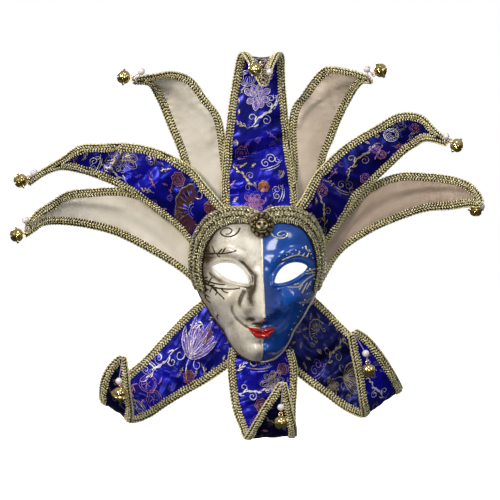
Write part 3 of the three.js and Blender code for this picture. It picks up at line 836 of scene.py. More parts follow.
class Finishes:
    """All materials of the mask, made once."""

    def __init__(self) -> None:
        """Builds every material."""
        self.ivory = FacePaint(Half.IVORY).build()
        self.cobalt = FacePaint(Half.COBALT).build()
        self.mache = BareMache().build()
        cloths = (
            Satin("royal_blue_satin_brocade", "#0d0884", "#1c1cb4", "#020118", "#5a62ff", 0.25, 0.8),
            Satin("cream_satin", "#dad3c5", "#e2dccf", "#cec6b6", "#fff6e4", 0.5),
            # Painted shade: the next two creams and two brocades are darker copies for the points in shade;
            # the rose cream is also warmer.
            Satin("rose_cream_satin", "#c9baa8", "#d1c3b3", "#bcac9a", "#ffeddf", 0.5),
            Satin("dusky_cream_satin", "#a08f7f", "#aa9a8a", "#928171", "#ffeadc", 0.5),
            Satin("royal_blue_satin_brocade_in_shade", "#08044c", "#110d66", "#030222", "#4c56e0", 0.3, 0.9),
            Satin("royal_blue_satin_brocade_in_deep_shade", "#05042a", "#0d0c44", "#020214", "#5058c0", 0.34, 0.6),
        )
        self.cloth = {ware: cloth.build() for ware, cloth in zip(Ware, cloths)}
        threads = (
            MetalThread("gold_brocade_thread", "#d9cc90", "#8d7a40"),
            MetalThread("silver_brocade_thread", "#f6f3ec", "#b9b2b4", 0.4),
            MetalThread("rose_brocade_thread", "#c98fb4", "#8a4f86", 0.3),
            MetalThread("maroon_brocade_thread", "#470d34", "#270620", 0.1, 0.5),
            MetalThread("copper_brocade_thread", "#c9825a", "#7a4630", 0.5),
            MetalThread("lilac_brocade_thread", "#7a58c0", "#4a2f9a", 0.15, 0.4),
            # The last thread is the gold dimmed for painted shade, on cloth in shade.
            MetalThread("shaded_gold_brocade_thread", "#8f855c", "#4e4630", 0.4),
        )
        self.threads = [thread.build() for thread in threads]
        # Painted shade, in part: the near-black cores show only between the bright passes, where shade
        # falls; the brow's core is darker still.
        self.braid_core = MetalThread("dark_braid_core", "#463a1b", "#150f06", 0.3, 0.5).build()
        self.brow_core = MetalThread("shaded_brow_braid_core", "#2c230f", "#0e0a04", 0.3, 0.5).build()
        self.braid_gold = MetalThread("pale_gold_gimp_thread", "#fffbd8", "#cdbd76", 0.2, 0.26, 1.9).build()
        self.brow_gold = MetalThread(
            "tarnished_gold_gimp_thread", "#f6efc4", "#574b28", 0.4, 0.26, 2.2
        ).build()
        self.bronze_line = MetalThread("bronze_relief_paste", "#5a4628", "#1f170d", 0.5, 0.42).build()
        self.glitter_line = MetalThread(
            "silver_gold_glitter_paste", "#f7f4ea", "#b7a878", 0.6, 0.28, 0.6
        ).build()
        self.boss = CastBrass().build()
        self.bell = SpunBrass().build()
        self.pearl = Lustre("pearl_bead", "#f6f2ea", "#e2d8d4", 0.14, 0.9, 3.0).build()
        self.lilac = Lustre("lilac_thread", "#b49acb", "#8264a8", 0.5, 0.1, 0.7).build()
        self.white = Lustre("white_thread", "#efeaf0", "#cfc6d2", 0.5, 0.1, 0.7).build()


# The face


@dataclass
class FaceShape:
    """Form of the moulded face: the rim, the dome, the nose and the swellings of the plain solid."""

    wall: float = 2.6
    centre_z: float = -84.0
    dome_depth: float = -12.0
    roundness: float = 0.97
    nose_flank: float = 1.8
    rim_calm: int = 8
    # Columns: x, z, y
    rim: Table = (
        (0, 11, 3), (14, 17, 4), (30, 18.5, 7), (44, 16, 13), (57, 10, 21), (67.5, -1, 30),
        (74.5, -15, 39), (77.5, -31, 45), (78, -46, 48), (75, -64, 49), (69, -79, 47),
        (58, -99, 41), (42, -122, 31), (33, -139, 24), (23, -151, 17), (11, -157.5, 11), (0, -159, 9),
    )
    # Columns: z, height, half width
    nose: Table = (
        (-40, 0, 8), (-55, 4, 8), (-70, 11, 9), (-85, 20, 11), (-98, 29, 12.5),
        (-105, 34, 11), (-110, 27, 8), (-114, 5, 8), (-118, 0, 9),
    )
    # Columns: x, z, height, spread in x, spread in z, on both sides
    swellings: Table = (
        (27, -14, 2.5, 22, 14), (34, -37, 3, 20, 6), (35, -56, -7, 19, 12), (18, -96, 9, 7, 8),
        (43, -87, 8, 15, 13), (9, -124, 6, 15, 12), (7, -121, 2.5, 8, 3), (5, -129, 2.5, 7, 3.2),
        (5, -148, 11, 11, 9),
    )

    def __post_init__(self) -> None:
        """Works out the rim by angle from straight up."""
        rim = np.array(self.rim, float)
        self.angles = np.arctan2(rim[:, 0], rim[:, 1] - self.centre_z)
        self.reaches = np.stack([np.hypot(rim[:, 0], rim[:, 1] - self.centre_z), rim[:, 2]], axis=1)
        self.nose_rows = np.array(self.nose, float)

    def swelling(self, x: Array, z: Array) -> Array:
        """Height of the nose and the swellings over the plain dome.

        Args:
            x: Places to the side.
            z: Places up.

        Returns:
            The height at each place.
        """
        keys = -self.nose_rows[:, 0]
        row = at_key(self.nose_rows, keys, -z)
        there = (-z > keys[0]) & (-z < keys[-1])
        ridge = row[..., 1] * np.exp(-np.abs(x / row[..., 2]) ** self.nose_flank)
        return np.where(there, ridge, 0.0) + bump_height(x, z, self.swellings)

    def reach(self, angle: Array) -> Array:
        """Distance of the rim from the middle of the spokes, and its depth."""
        held = np.abs(np.arctan2(np.sin(angle), np.cos(angle)))
        return at_key(self.reaches, self.angles, held)

    def depth(self, x: Array, z: Array) -> Array:
        """Depth of the outside of the plain face at a place seen from the front.

        Args:
            x: Places to the side.
            z: Places up.

        Returns:
            The depth at each place.
        """
        angle = np.arctan2(x, z - self.centre_z)
        row = self.reach(angle)
        share = np.clip(np.hypot(x, z - self.centre_z) / row[..., 0], 0, 1)
        full = 1 - math.sqrt(1 - self.roundness**2)
        dome = (1 - np.sqrt(1 - (self.roundness * share) ** 2)) / full
        plain = self.dome_depth + (row[..., 1] - self.dome_depth) * dome
        return plain - self.swelling(x, z) * (1 - share**self.rim_calm)

    def point(self, angle: Array, share: Array) -> Array:
        """Place on the plain outside, by the angle of a spoke and the share of the way to the rim.

        Args:
            angle: Angles of the spokes.
            share: Shares of the way to the rim.

        Returns:
            The places.
        """
        reach = self.reach(angle)[..., 0]
        x = np.sin(angle) * reach * share
        z = self.centre_z + np.cos(angle) * reach * share
        return np.stack([x, self.depth(x, z), z], axis=-1)


class Coat(IntEnum):
    """Finishes of the shell, in the order of its materials."""

    IVORY = 0
    COBALT = 1
    MACHE = 2
    BRONZE = 3
    GLITTER = 4


@dataclass
class Flourish:
    """Lines and drops of raised paste on the face, drawn as seen from the front.

    Each line is a row of x, z places, and each drop is x, z and radius.
    """

    ivory_lines: tuple[Table, ...] = (
        ((-24.5, -4.6), (-27.9, -10.4), (-34.8, -14.3), (-42.9, -13.6), (-46.3, -9.7), (-42.9, -5.3),
         (-37.1, -4.6), (-33.7, -7.6), (-36.5, -11.3), (-40.6, -11.5)),
        ((-67, -32.6), (-58.5, -34.3), (-52.7, -33.7), (-47, -34.1), (-41.2, -33.6), (-35.5, -32.6),
         (-30.7, -31.1)), ((-52.7, -33.7), (-54.1, -29.9), (-55.2, -26.8)),
        ((-48.9, -33.9), (-47, -31.1), (-45.6, -29.5)), ((-45.1, -33.9), (-43, -30.5), (-41.6, -28.2)),
        ((-57.5, -34.3), (-59.4, -31.4), (-59.1, -27.6)), ((-62, -33.8), (-64.5, -30.4), (-65, -26.6)),
        ((-69, -64.5), (-63.3, -65), (-57.5, -66.9), (-50.8, -68.8), (-42.2, -69.8)),
        ((-64.2, -65.9), (-57.5, -71.3), (-49.9, -73.6), (-40.3, -74.6), (-30.7, -74.6), (-26.5, -73.6)),
        ((-56.6, -71.7), (-51.8, -76.5), (-47, -81.3), (-43.2, -85.1)),
        ((-59.4, -68.8), (-57.9, -65), (-56, -62.5)), ((-54.7, -71.3), (-56.6, -75.5), (-57.5, -78.4)),
        ((-67.1, -66.9), (-66.7, -62.1), (-65.6, -59.2)), ((-62, -68), (-63.4, -73), (-62.4, -79)),
        ((-48, -104.5), (-49.2, -107), (-47.6, -110.2)), ((-70, -35), (-66, -29.4), (-61.5, -25)),
        ((-70, -38), (-63, -37.6), (-56.5, -38.6)), ((-67.5, -31), (-63.2, -31.8), (-60, -29.4)),
        ((-50.5, -33.8), (-49.4, -36.6), (-46.6, -38)), ((-70, -60), (-65, -62.2), (-60.5, -61.2)),
        ((-69, -69), (-64, -74), (-58.4, -76.2)), ((-66, -66), (-60, -70.2), (-53, -70.6)),
        ((-52, -73.4), (-50.4, -78), (-51.6, -82)), ((-45.5, -74.2), (-42.6, -77.6), (-38.4, -79)),
        ((-67, -74), (-63.6, -80.4), (-58, -84.6)), ((-62.5, -81.8), (-61, -87.4), (-56.4, -91)),
    )
    ivory_drops: Table = (
        (-30.1, -31, 1.1), (-25.9, -73.6, 1.1), (-43, -85.6, 1.1), (-55.4, -26.2, 0.8), (-45.2, -29, 0.8),
        (-41.3, -27.7, 0.8), (-55.7, -62, 0.8), (-42, -69.8, 0.8), (-57.6, -79, 0.8), (-59, -27, 0.8),
    )
    cobalt_lines: tuple[Table, ...] = (
        ((10, -9.2), (13.5, -13.8), (20.4, -16.8), (27.3, -15.4), (30.3, -11.5), (27.3, -8.5),
         (21.5, -9.2), (18.1, -12.2), (22, -14), (26.1, -12.2)),
        ((23.9, -41.4), (29.7, -39.1), (36.4, -36.8), (44.1, -35.8), (51.7, -37.6)),
        ((42.1, -35.8), (45, -32.5)), ((47.9, -37.2), (50.8, -33.4)), ((54, -37.6), (56, -33.4)),
        ((51.7, -25.7), (53.3, -29.1), (55.9, -31.8), (58.4, -31.1)),
        ((53.6, -54.4), (60.4, -52.9), (65.2, -51.6)), ((52.7, -57.3), (59.4, -56.4), (64.8, -55.8)),
        ((57.5, -51.6), (60.4, -54.4), (62.3, -58.7)),
        ((30.6, -72.7), (37.4, -72.8), (44.1, -72.1), (50.8, -66.5), (58.4, -61.2), (65, -58.6)),
        ((38.3, -69.8), (44.1, -68.8)), ((44.1, -75.5), (48.9, -69.8)), ((47.5, -79.7), (54.6, -67.9)),
        ((53.3, -75.1), (59.8, -66)),
    )
    cobalt_drops: Table = (
        (28.7, -35.7, 0.8), (32.2, -32.8, 0.8), (36, -34.5, 0.8), (39.8, -30.1, 0.9), (44.1, -31.4, 0.8),
        (48.3, -27.6, 0.9), (52.7, -25.7, 0.9), (56.9, -29.9, 0.9), (59, -34.3, 0.9), (61.5, -39, 0.9),
        (54.6, -80.7, 0.9), (51.7, -87.4, 0.9), (50.2, -93.7, 0.9), (59, -70.2, 0.9), (46.9, -100.5, 0.8),
        (44.1, -107.2, 0.8), (40.2, -114.8, 0.8), (63.6, -63.5, 0.9), (62.5, -72, 0.8), (58.4, -80, 0.8),
        (36.6, -121.6, 0.7), (33.4, -128, 0.7),
    )
    # Partly a painted highlight: the split line down the nose ridge is drawn wide in the pale glitter paste,
    # where the ridge catches the light.
    split_line: Table = ((0.5, -17), (0.9, -40), (0.5, -60), (0.7, -80), (0.5, -100), (0.7, -106))
    chin_line: Table = ((0.8, -133), (1.1, -145), (0.8, -156))
    radius: float = 0.8
    step: float = 1.1
    ivory_weight: float = 1.3
    cobalt_weight: float = 1.15
    split_weight: float = 1.7

    def raise_on(self, parts: MeshParts, place: Callable[[Array], Array]) -> None:
        """Adds the lines and drops to a piece.

        Args:
            parts: The piece.
            place: Gives the place on the face for rows of x, z.
        """
        polar = np.linspace(0.02, math.pi - 0.02, 9)
        bead = MeshParts()
        bead.lathe(np.stack([np.sin(polar), np.cos(polar)], axis=-1), 12)
        for lines, drops, finish, weight in (
            (self.ivory_lines, self.ivory_drops, Coat.BRONZE, self.ivory_weight),
            (self.cobalt_lines, self.cobalt_drops, Coat.GLITTER, self.cobalt_weight),
            ((self.split_line, self.chin_line), (), Coat.GLITTER, self.split_weight),
        ):
            for line in lines:
                long = float(run_length(np.array(line, float))[-1])
                path = smooth_line(line, max(6, int(long / self.step)))
                thin = np.linspace(1.1, 0.7, len(path)) * self.radius * weight
                parts.tube(place(path), thin, 6, finish)
            for x, z, radius in drops:
                middle = place(np.array([[x, z]], float))
                parts.add(bead.points[0] * radius + middle, bead.faces[0], finish)


@dataclass
class FaceShell:
    """The moulded shell, finer than its plain solid: lids, lips, creases and raised lines."""

    shape: FaceShape
    spokes: int = 300
    rings: int = 104
    eye_outer: tuple[float, float] = (55.5, -48.5)
    eye_inner: tuple[float, float] = (14.5, -68.0)
    eye_points: int = 48
    lids: tuple[float, float] = (14.0, -6.5)
    bluntness: float = 0.62
    roll: float = 1.0
    cord: float = 0.75
    cord_pitch: float = 4.6
    cord_start: float = 1.45
    rim_calm: float = 0.06
    # Columns: distance from the middle, upper edge, mouth line, lower edge
    lip_rows: Table = (
        (0, -121.4, -125.0, -132.0), (4, -119.6, -124.6, -131.6), (8, -119.2, -123.2, -129.2),
        (12.5, -118.6, -120.8, -124.2), (16.5, -117.9, -118.3, -118.9),
    )
    # Columns: height, half width, then the places of the groove on one side
    grooves: tuple = (
        (-1.4, 2.0, ((16, -118.6), (19, -117.2), (23.5, -113.6), (28.5, -108), (33, -100.5), (34, -95))),
        (-1.6, 2.4, ((21, -78), (24.5, -87), (24, -95), (18.5, -102.5), (9, -108.5))),
        (-1.1, 1.8, ((12.5, -56), (22, -45.5), (36, -39), (52, -38.5), (62, -43))),
        (1.3, 3.0, ((14, -44), (26, -33), (42, -28.5), (58, -31))),
        (-1.0, 1.8, ((18, -72.5), (30, -71), (46, -66), (58, -57))),
        (-0.7, 2.0, ((0, -112), (0, -118))),
        (-1.7, 2.2, ((6, -109.8), (10.5, -108.2))),
        (-0.5, 3.0, ((0, -137.5), (9, -136.2))),
    )
    # Columns: strength, half width, then the places of one stroke on one side, mirrored to the other.
    # The strokes darken the nose flank, the outer eye and the brow ridge: partly brown antiquing and
    # partly painted shade on the ivory half, painted shade on the cobalt half.
    wash_and_shade_strokes: tuple = (
        (0.5, 5.5, ((9, -60), (12, -74), (14, -88), (14, -99))),
        (0.3, 8.0, ((66, -30), (61, -46), (66, -62))),
        (0.25, 5.0, ((22, -42), (38, -35), (54, -37))),
    )

    def eye(self, side: float) -> Array:
        """Almond outline of one eye hole, as x, z places.

        Args:
            side: -1 for the ivory half, 1 for the cobalt half.

        Returns:
            The outline.
        """
        there, back = (np.linspace(a, 1 - a, self.eye_points + 1)[:-1] for a in (0, 1))
        q = np.concatenate([there, back])
        lid = np.repeat(self.lids, self.eye_points)
        outer, inner = np.array(self.eye_outer), np.array(self.eye_inner)
        chord = inner - outer
        rise = lid * np.abs(np.sin(math.pi * q)) ** self.bluntness / np.linalg.norm(chord)
        x = outer[0] + chord[0] * q + rise * chord[1]
        z = outer[1] + chord[1] * q - rise * chord[0]
        return np.stack([side * x, z], axis=-1)

    def eye_distance(self, flat: Array) -> tuple[Array, Array]:
        """Distance into the nearer eye hole, and the nearest place on its outline.

        Args:
            flat: Places as x, z.

        Returns:
            The distance, above zero inside the hole, and the place on the outline.
        """
        outline = self.eye(1.0)
        mirrored = np.stack([np.abs(flat[..., 0]), flat[..., 1]], axis=-1)
        x, z = mirrored[..., 0], mirrored[..., 1]
        best = np.full(x.shape, np.inf)
        nearest = np.zeros_like(mirrored)
        inside = np.zeros(x.shape, bool)
        for a, b in zip(outline, np.roll(outline, -1, 0)):
            spot = nearest_on(mirrored, a, b)
            gone = np.linalg.norm(mirrored - spot, axis=-1)
            closer = gone < best
            best = np.where(closer, gone, best)
            nearest = np.where(closer[..., None], spot, nearest)
            crosses = (a[1] > z) != (b[1] > z)
            rise = b[1] - a[1]
            edge = a[0] + (z - a[1]) / (rise if abs(rise) > TINY else TINY) * (b[0] - a[0])
            inside ^= crosses & (x < edge)
        nearest[..., 0] *= np.where(flat[..., 0] < 0, -1.0, 1.0)
        return np.where(inside, best, -best), nearest

    def lip_depth(self, flat: Array) -> Array:
        """Distance into the painted lips, above zero inside.

        Args:
            flat: Places as x, z.

        Returns:
            The distances.
        """
        rows = np.array(self.lip_rows, float)
        x = np.abs(flat[..., 0])
        row = at_key(rows, rows[:, 0], x)
        inside = np.minimum(row[..., 1] - flat[..., 1], flat[..., 1] - row[..., 3])
        return np.minimum(inside, (rows[-1, 0] - x) * 0.8)

    def detail(self, flat: Array) -> Array:
        """Height of the finer forms over the plain face.

        Args:
            flat: Places as x, z.

        Returns:
            The height at each place.
        """
        rows = np.array(self.lip_rows, float)
        x, z = np.abs(flat[..., 0]), flat[..., 1]
        row = at_key(rows, rows[:, 0], x)
        upper, line, lower = row[..., 1], row[..., 2], row[..., 3]
        over = np.clip((z - line) / np.maximum(upper - line, 0.2), 0, 1)
        under = np.clip((line - z) / np.maximum(line - lower, 0.2), 0, 1)
        fade = np.clip((rows[-1, 0] + 1 - x) / 5, 0, 1)
        lips = fade * (1.5 * np.sin(math.pi * over) + 2.0 * np.sin(math.pi * under))
        mouth = np.clip((19 - x) / 3, 0, 1) * 1.3 * np.exp(-(((z - line) / 0.8) ** 2))
        creases = stroke_height(np.stack([x, z], axis=-1), self.grooves, 14)
        away = -self.eye_distance(flat)[0]
        lids = 1.4 * np.exp(-(((away - 2.0) / 2.1) ** 2))
        return lips - mouth + creases + lids

    def outside(self, flat: Array, share: Array | float = 1.0) -> Array:
        """Place on the outside for rows of x, z, with all or a share of the finer forms."""
        y = self.shape.depth(flat[..., 0], flat[..., 1]) - self.detail(flat) * share
        return np.stack([flat[..., 0], y, flat[..., 1]], axis=-1)

    @staticmethod
    def normals(points: Array, *groups: Array) -> Array:
        """Directions out of the face at each point, from groups of faces.

        Args:
            points: The points of the face.
            *groups: The faces, in groups of three or four corners.

        Returns:
            The directions.
        """
        total = np.zeros_like(points)
        for faces in groups:
            a, b, c = (points[faces[:, k]] for k in range(3))
            out = np.cross(b - a, c - a)
            for corner in faces.T:
                np.add.at(total, corner, out)
        total = unit(total)
        total[np.linalg.norm(total, axis=1) < 0.5] = (0, -1, 0)
        return total

    def hollow(self, front: Array, normal: Array, rim_share: Array) -> Array:
        """How deep each point lies among its neighbours, with strokes and a darker rim added.

        The value darkens the paint: partly brown antiquing, partly painted shade.

        Args:
            front: Points of the outside, from the middle out.
            normal: Directions out of the face.
            rim_share: Share of the way to the rim.

        Returns:
            A value from 0 on a height to about 1 in a groove.
        """
        shape = (self.rings, self.spokes)
        grid, out = (rows[1:].reshape(*shape, 3) for rows in (front, normal))
        share = rim_share[1:].reshape(shape)
        rows = np.arange(self.rings)
        total = np.zeros(shape)
        for step, weight in ((2, 1.1), (5, 0.5), (10, 0.16)):
            inner = grid[np.maximum(rows - step, 0)]
            outer = grid[np.minimum(rows + step, self.rings - 1)]
            mean = (np.roll(grid, step, 1) + np.roll(grid, -step, 1) + inner + outer) / 4
            total += weight * ((mean - grid) * out).sum(axis=-1)
        total = np.clip(soften(total, 5), 0, 1.2) * np.clip((share - 0.03) / 0.1, 0, 1)
        mirrored = np.stack([np.abs(grid[..., 0]), grid[..., 2]], axis=-1)
        total += stroke_height(mirrored, self.wash_and_shade_strokes, 12)
        # Painted shade, with some antiquing: darker towards the rim, and more so on the upper half under the
        # brow braid.
        high = np.clip((grid[..., 2] - self.shape.centre_z) / 60, 0, 1)
        edge = np.clip((share - 0.62) / 0.38, 0, 1) ** 1.5 * (0.3 + 0.95 * high)
        return np.concatenate([[0.0], np.clip(total + edge, 0, 1.3).ravel()])

    def mould(self, parts: MeshParts) -> None:
        """Adds the wall of the shell, painted in two halves outside and bare inside.

        Args:
            parts: The piece.
        """
        angle, share = np.meshgrid(full_turn(self.spokes), np.linspace(0, 1, self.rings + 1)[1:])
        plain = self.shape.point(angle, share)
        flat = np.concatenate([[[0.0, self.shape.centre_z]], plain[..., [0, 2]].reshape(-1, 2)])
        rim_share = np.concatenate([[0.0], share.ravel()])
        into, nearest = self.eye_distance(flat)
        inside = into > 0
        flat = np.where(inside[:, None], nearest, flat)
        front = self.outside(flat, np.clip((1 - rim_share) / self.rim_calm, 0, 1))
        fan = fan_faces(self.spokes, -1)[:, [0, 2, 1]] + 1
        quads = grid_faces(self.rings, self.spokes, wrap=True) + 1
        quads = quads[~inside[quads].all(axis=1)]
        normal = self.normals(front, quads, fan)
        normal[inside] = (0, -1, 0)
        count = len(front)
        edges = np.concatenate([
            faces[:, [k, (k + 1) % faces.shape[1]]]
            for faces in (quads, fan)
            for k in range(faces.shape[1])
        ])
        keys = np.sort(edges, axis=1) @ np.array([count, 1])
        _, first, uses = np.unique(keys, return_index=True, return_counts=True)
        rim = edges[first[uses == 1]]
        halves = [(front[faces][:, :, 0].mean(axis=1) > 0).astype(int) for faces in (quads, fan, rim)]
        hollow = np.tile(self.hollow(front, normal, rim_share), 2)
        lip = np.concatenate([np.clip(self.lip_depth(flat) + 1, 0, 9), np.zeros(count)])
        both = np.concatenate([front, front - normal * self.shape.wall])
        base = parts.add(both, quads, halves[0], hollow=hollow, lip=lip)
        parts.add_faces(base, fan, halves[1])
        for faces in (quads, fan):
            parts.add_faces(base, faces[:, ::-1] + count, Coat.MACHE)
        parts.add_faces(base, np.concatenate([rim[:, ::-1], rim + count], axis=1), halves[2])

    def build(self, finishes: Finishes) -> bpy.types.Object:
        """Makes the shell with its paint, its raised lines and its bare inside.

        Args:
            finishes: The materials.

        Returns:
            The piece.
        """
        parts = MeshParts()
        self.mould(parts)
        for side, finish in ((-1.0, Coat.IVORY), (1.0, Coat.COBALT)):
            rim = self.outside(self.eye(side))
            parts.tube(rim + (0, self.roll * 0.5, 0), self.roll, 8, finish, ring=True)
        Flourish().raise_on(parts, self.outside)
        for side, finish in ((-1.0, Coat.BRONZE), (1.0, Coat.GLITTER)):
            jaw = side * np.linspace(self.cord_start, math.pi, 90)
            edge = self.shape.point(jaw, np.ones_like(jaw))
            lay_rope(parts, edge, self.cord, self.cord, self.cord_pitch, finish)
        paste = [finishes.bronze_line, finishes.glitter_line]
        coats = [finishes.ivory, finishes.cobalt, finishes.mache, *paste]
        return settle(parts.to_object("painted_face", coats, 50), "papier_mache", "face_shell")


# Gold braid


@dataclass
class BraidRow:
    """One row of bright thread in a braid, in millimetres and degrees."""

    inward: float
    height: float
    pitch: float
    length: float
    slant: float
    wide: float
    high: float
    phase: float = 0.0
    uneven: float = 0.2

    def lay(self, parts: MeshParts, place: Place, finish: int = 0) -> None:
        """Lays the row's passes of thread along the braid.

        Args:
            parts: The piece.
            place: Gives the line at a distance in from the edge and a height over the cloth's middle.
            finish: The place of the thread's finish.
        """
        line, inner = (place(self.inward + more, self.height) for more in (0.0, 0.4))
        gone = run_length(line)
        count = max(2, int(gone[-1] / self.pitch))
        at = (np.arange(count) + 0.5 + self.phase) / count * gone[-1]
        middle = rows_at(line, gone, at)
        ahead = unit(rows_at(line, gone, at + 1.2) - rows_at(line, gone, at - 1.2))
        aside = rows_at(inner, gone, at) - middle
        aside = unit(aside - ahead * (aside * ahead).sum(axis=-1, keepdims=True))
        up = np.cross(ahead, aside)
        rng = np.random.default_rng(int(self.inward * 100) + count)
        turn = np.radians(self.slant) * (1 + rng.normal(0, self.uneven, (count, 1)))
        long, wide, high = (1 + rng.normal(0, self.uneven, (3, count, 1)) * 0.7).clip(0.55, 1.4) / 2
        along = ahead * np.cos(turn) + aside * np.sin(turn)
        across = np.cross(up, along)
        parts.spindles(
            middle, along * self.length * long, across * self.wide * wide, up * self.high * high, finish
        )


def lay_rope(
    parts: MeshParts, line: Array, twist: float, strand: float, pitch: float, finish: int = 0, sides: int = 6
) -> None:
    """Adds a rope of two strands twisted round each other.

    Args:
        parts: The piece.
        line: Middle of the rope.
        twist: Distance of each strand from the middle.
        strand: Radius of a strand.
        pitch: Length of one full twist.
        finish: The place of its finish.
        sides: Sides of a strand.
    """
    gone = run_length(line)
    even = np.linspace(0, gone[-1], max(8, int(gone[-1] / (pitch / 5))))
    middle = rows_at(line, gone, even)
    _, across, other = carried_frame(middle, (0.2, 0.9, 0.35))
    for start in (0.0, math.pi):
        turn = (even / pitch * TURN + start)[:, None]
        parts.tube(middle + (across * np.cos(turn) + other * np.sin(turn)) * twist, strand, sides, finish)


@dataclass
class BrowBraid:
    """Wide gimp sewn round the brow: chevrons of bright thread between a looped and a roped edge."""

    shape: FaceShape
    end_z: float = -76.0
    width: float = 19.0
    spill: float = 0.6
    columns: int = 15
    crown: float = 1.9
    taper: float = 0.45
    taper_start: float = 0.75
    lift: float = 0.5
    rows: tuple[BraidRow, ...] = (
        BraidRow(2.6, 3.0, 4.0, 5.4, 40, 2.0, 2.4, 0.0, 0.28),
        BraidRow(5.9, 3.4, 4.0, 5.4, -40, 2.0, 2.4, 0.0, 0.28),
        BraidRow(9.2, 3.5, 4.0, 5.4, 40, 2.0, 2.4, 0.5, 0.28),
        BraidRow(12.4, 3.3, 4.0, 5.0, -40, 1.9, 2.2, 0.5, 0.28),
        BraidRow(16.3, 2.4, 2.6, 6.0, 80, 1.6, 1.7, 0.0, 0.22),
    )
    # Columns: distance in, height, twist, strand, pitch, sides
    ropes: Table = (
        (-0.4, 1.7, 0.95, 0.95, 8.0, 6), (7.6, 4.0, 0.5, 0.55, 5.0, 5), (14.3, 3.1, 0.5, 0.55, 5.0, 5),
    )

    def spoke(self) -> Array:
        """Angles along the braid, from one cheek over the brow to the other."""
        angle = np.linspace(-math.pi, math.pi, 1201)
        return angle[self.shape.point(angle, np.ones_like(angle))[:, 2] > self.end_z]

    def place(self, inward: float, height: float) -> Array:
        """Line along the braid at a distance in from the rim and a height over the shell.

        Args:
            inward: Distance in from the rim, below zero beyond it.
            height: Height over the shell.

        Returns:
            The places along the line.
        """
        angle = self.spoke()
        reach = self.shape.reach(angle)[:, 0]
        down = (np.abs(angle) - self.taper_start) / (np.abs(angle).max() - self.taper_start)
        share = np.clip(1 - inward * (1 - self.taper * np.clip(down, 0, 1)) / reach, 0, 1)
        point = self.shape.point(angle, share)
        outward = point - self.shape.point(angle, share - 0.03)
        aside = self.shape.point(angle + 0.02, share) - self.shape.point(angle - 0.02, share)
        out = unit(np.cross(aside, outward))
        out = np.where(out[:, 1:2] > 0, -out, out)
        return point + out * height + max(-inward, 0) * unit(outward)

    def build(self, finishes: Finishes) -> bpy.types.Object:
        """Makes the dark band and the bright threads on it.

        Args:
            finishes: The materials.

        Returns:
            The piece.
        """
        parts = MeshParts()
        across = np.linspace(-self.spill, self.width, self.columns)
        crown = self.crown * np.sin(np.linspace(0.25, math.pi - 0.25, self.columns)) ** 0.5
        over = np.stack([self.place(d, self.lift + h) for d, h in zip(across, crown)], axis=1)
        under = np.stack([self.place(d, self.lift) for d in across], axis=1)
        band = np.concatenate([over, under[:, ::-1]], axis=1)
        parts.add(band, grid_faces(*band.shape[:2], wrap=True, flip=True))
        for end, flip in ((0, False), (-1, True)):
            parts.add(np.stack([over[end], under[end]]), grid_faces(2, self.columns, flip=flip))
        for row in self.rows:
            row.lay(parts, self.place, 1)
        for inward, height, twist, strand, pitch, sides in self.ropes:
            lay_rope(parts, self.place(inward, height), twist, strand, pitch, 1, sides)
        braid = parts.to_object("brow_gimp", [finishes.brow_core, finishes.brow_gold], 60)
        return settle(braid, "gold_braid", "brow_braid")


# Lion boss


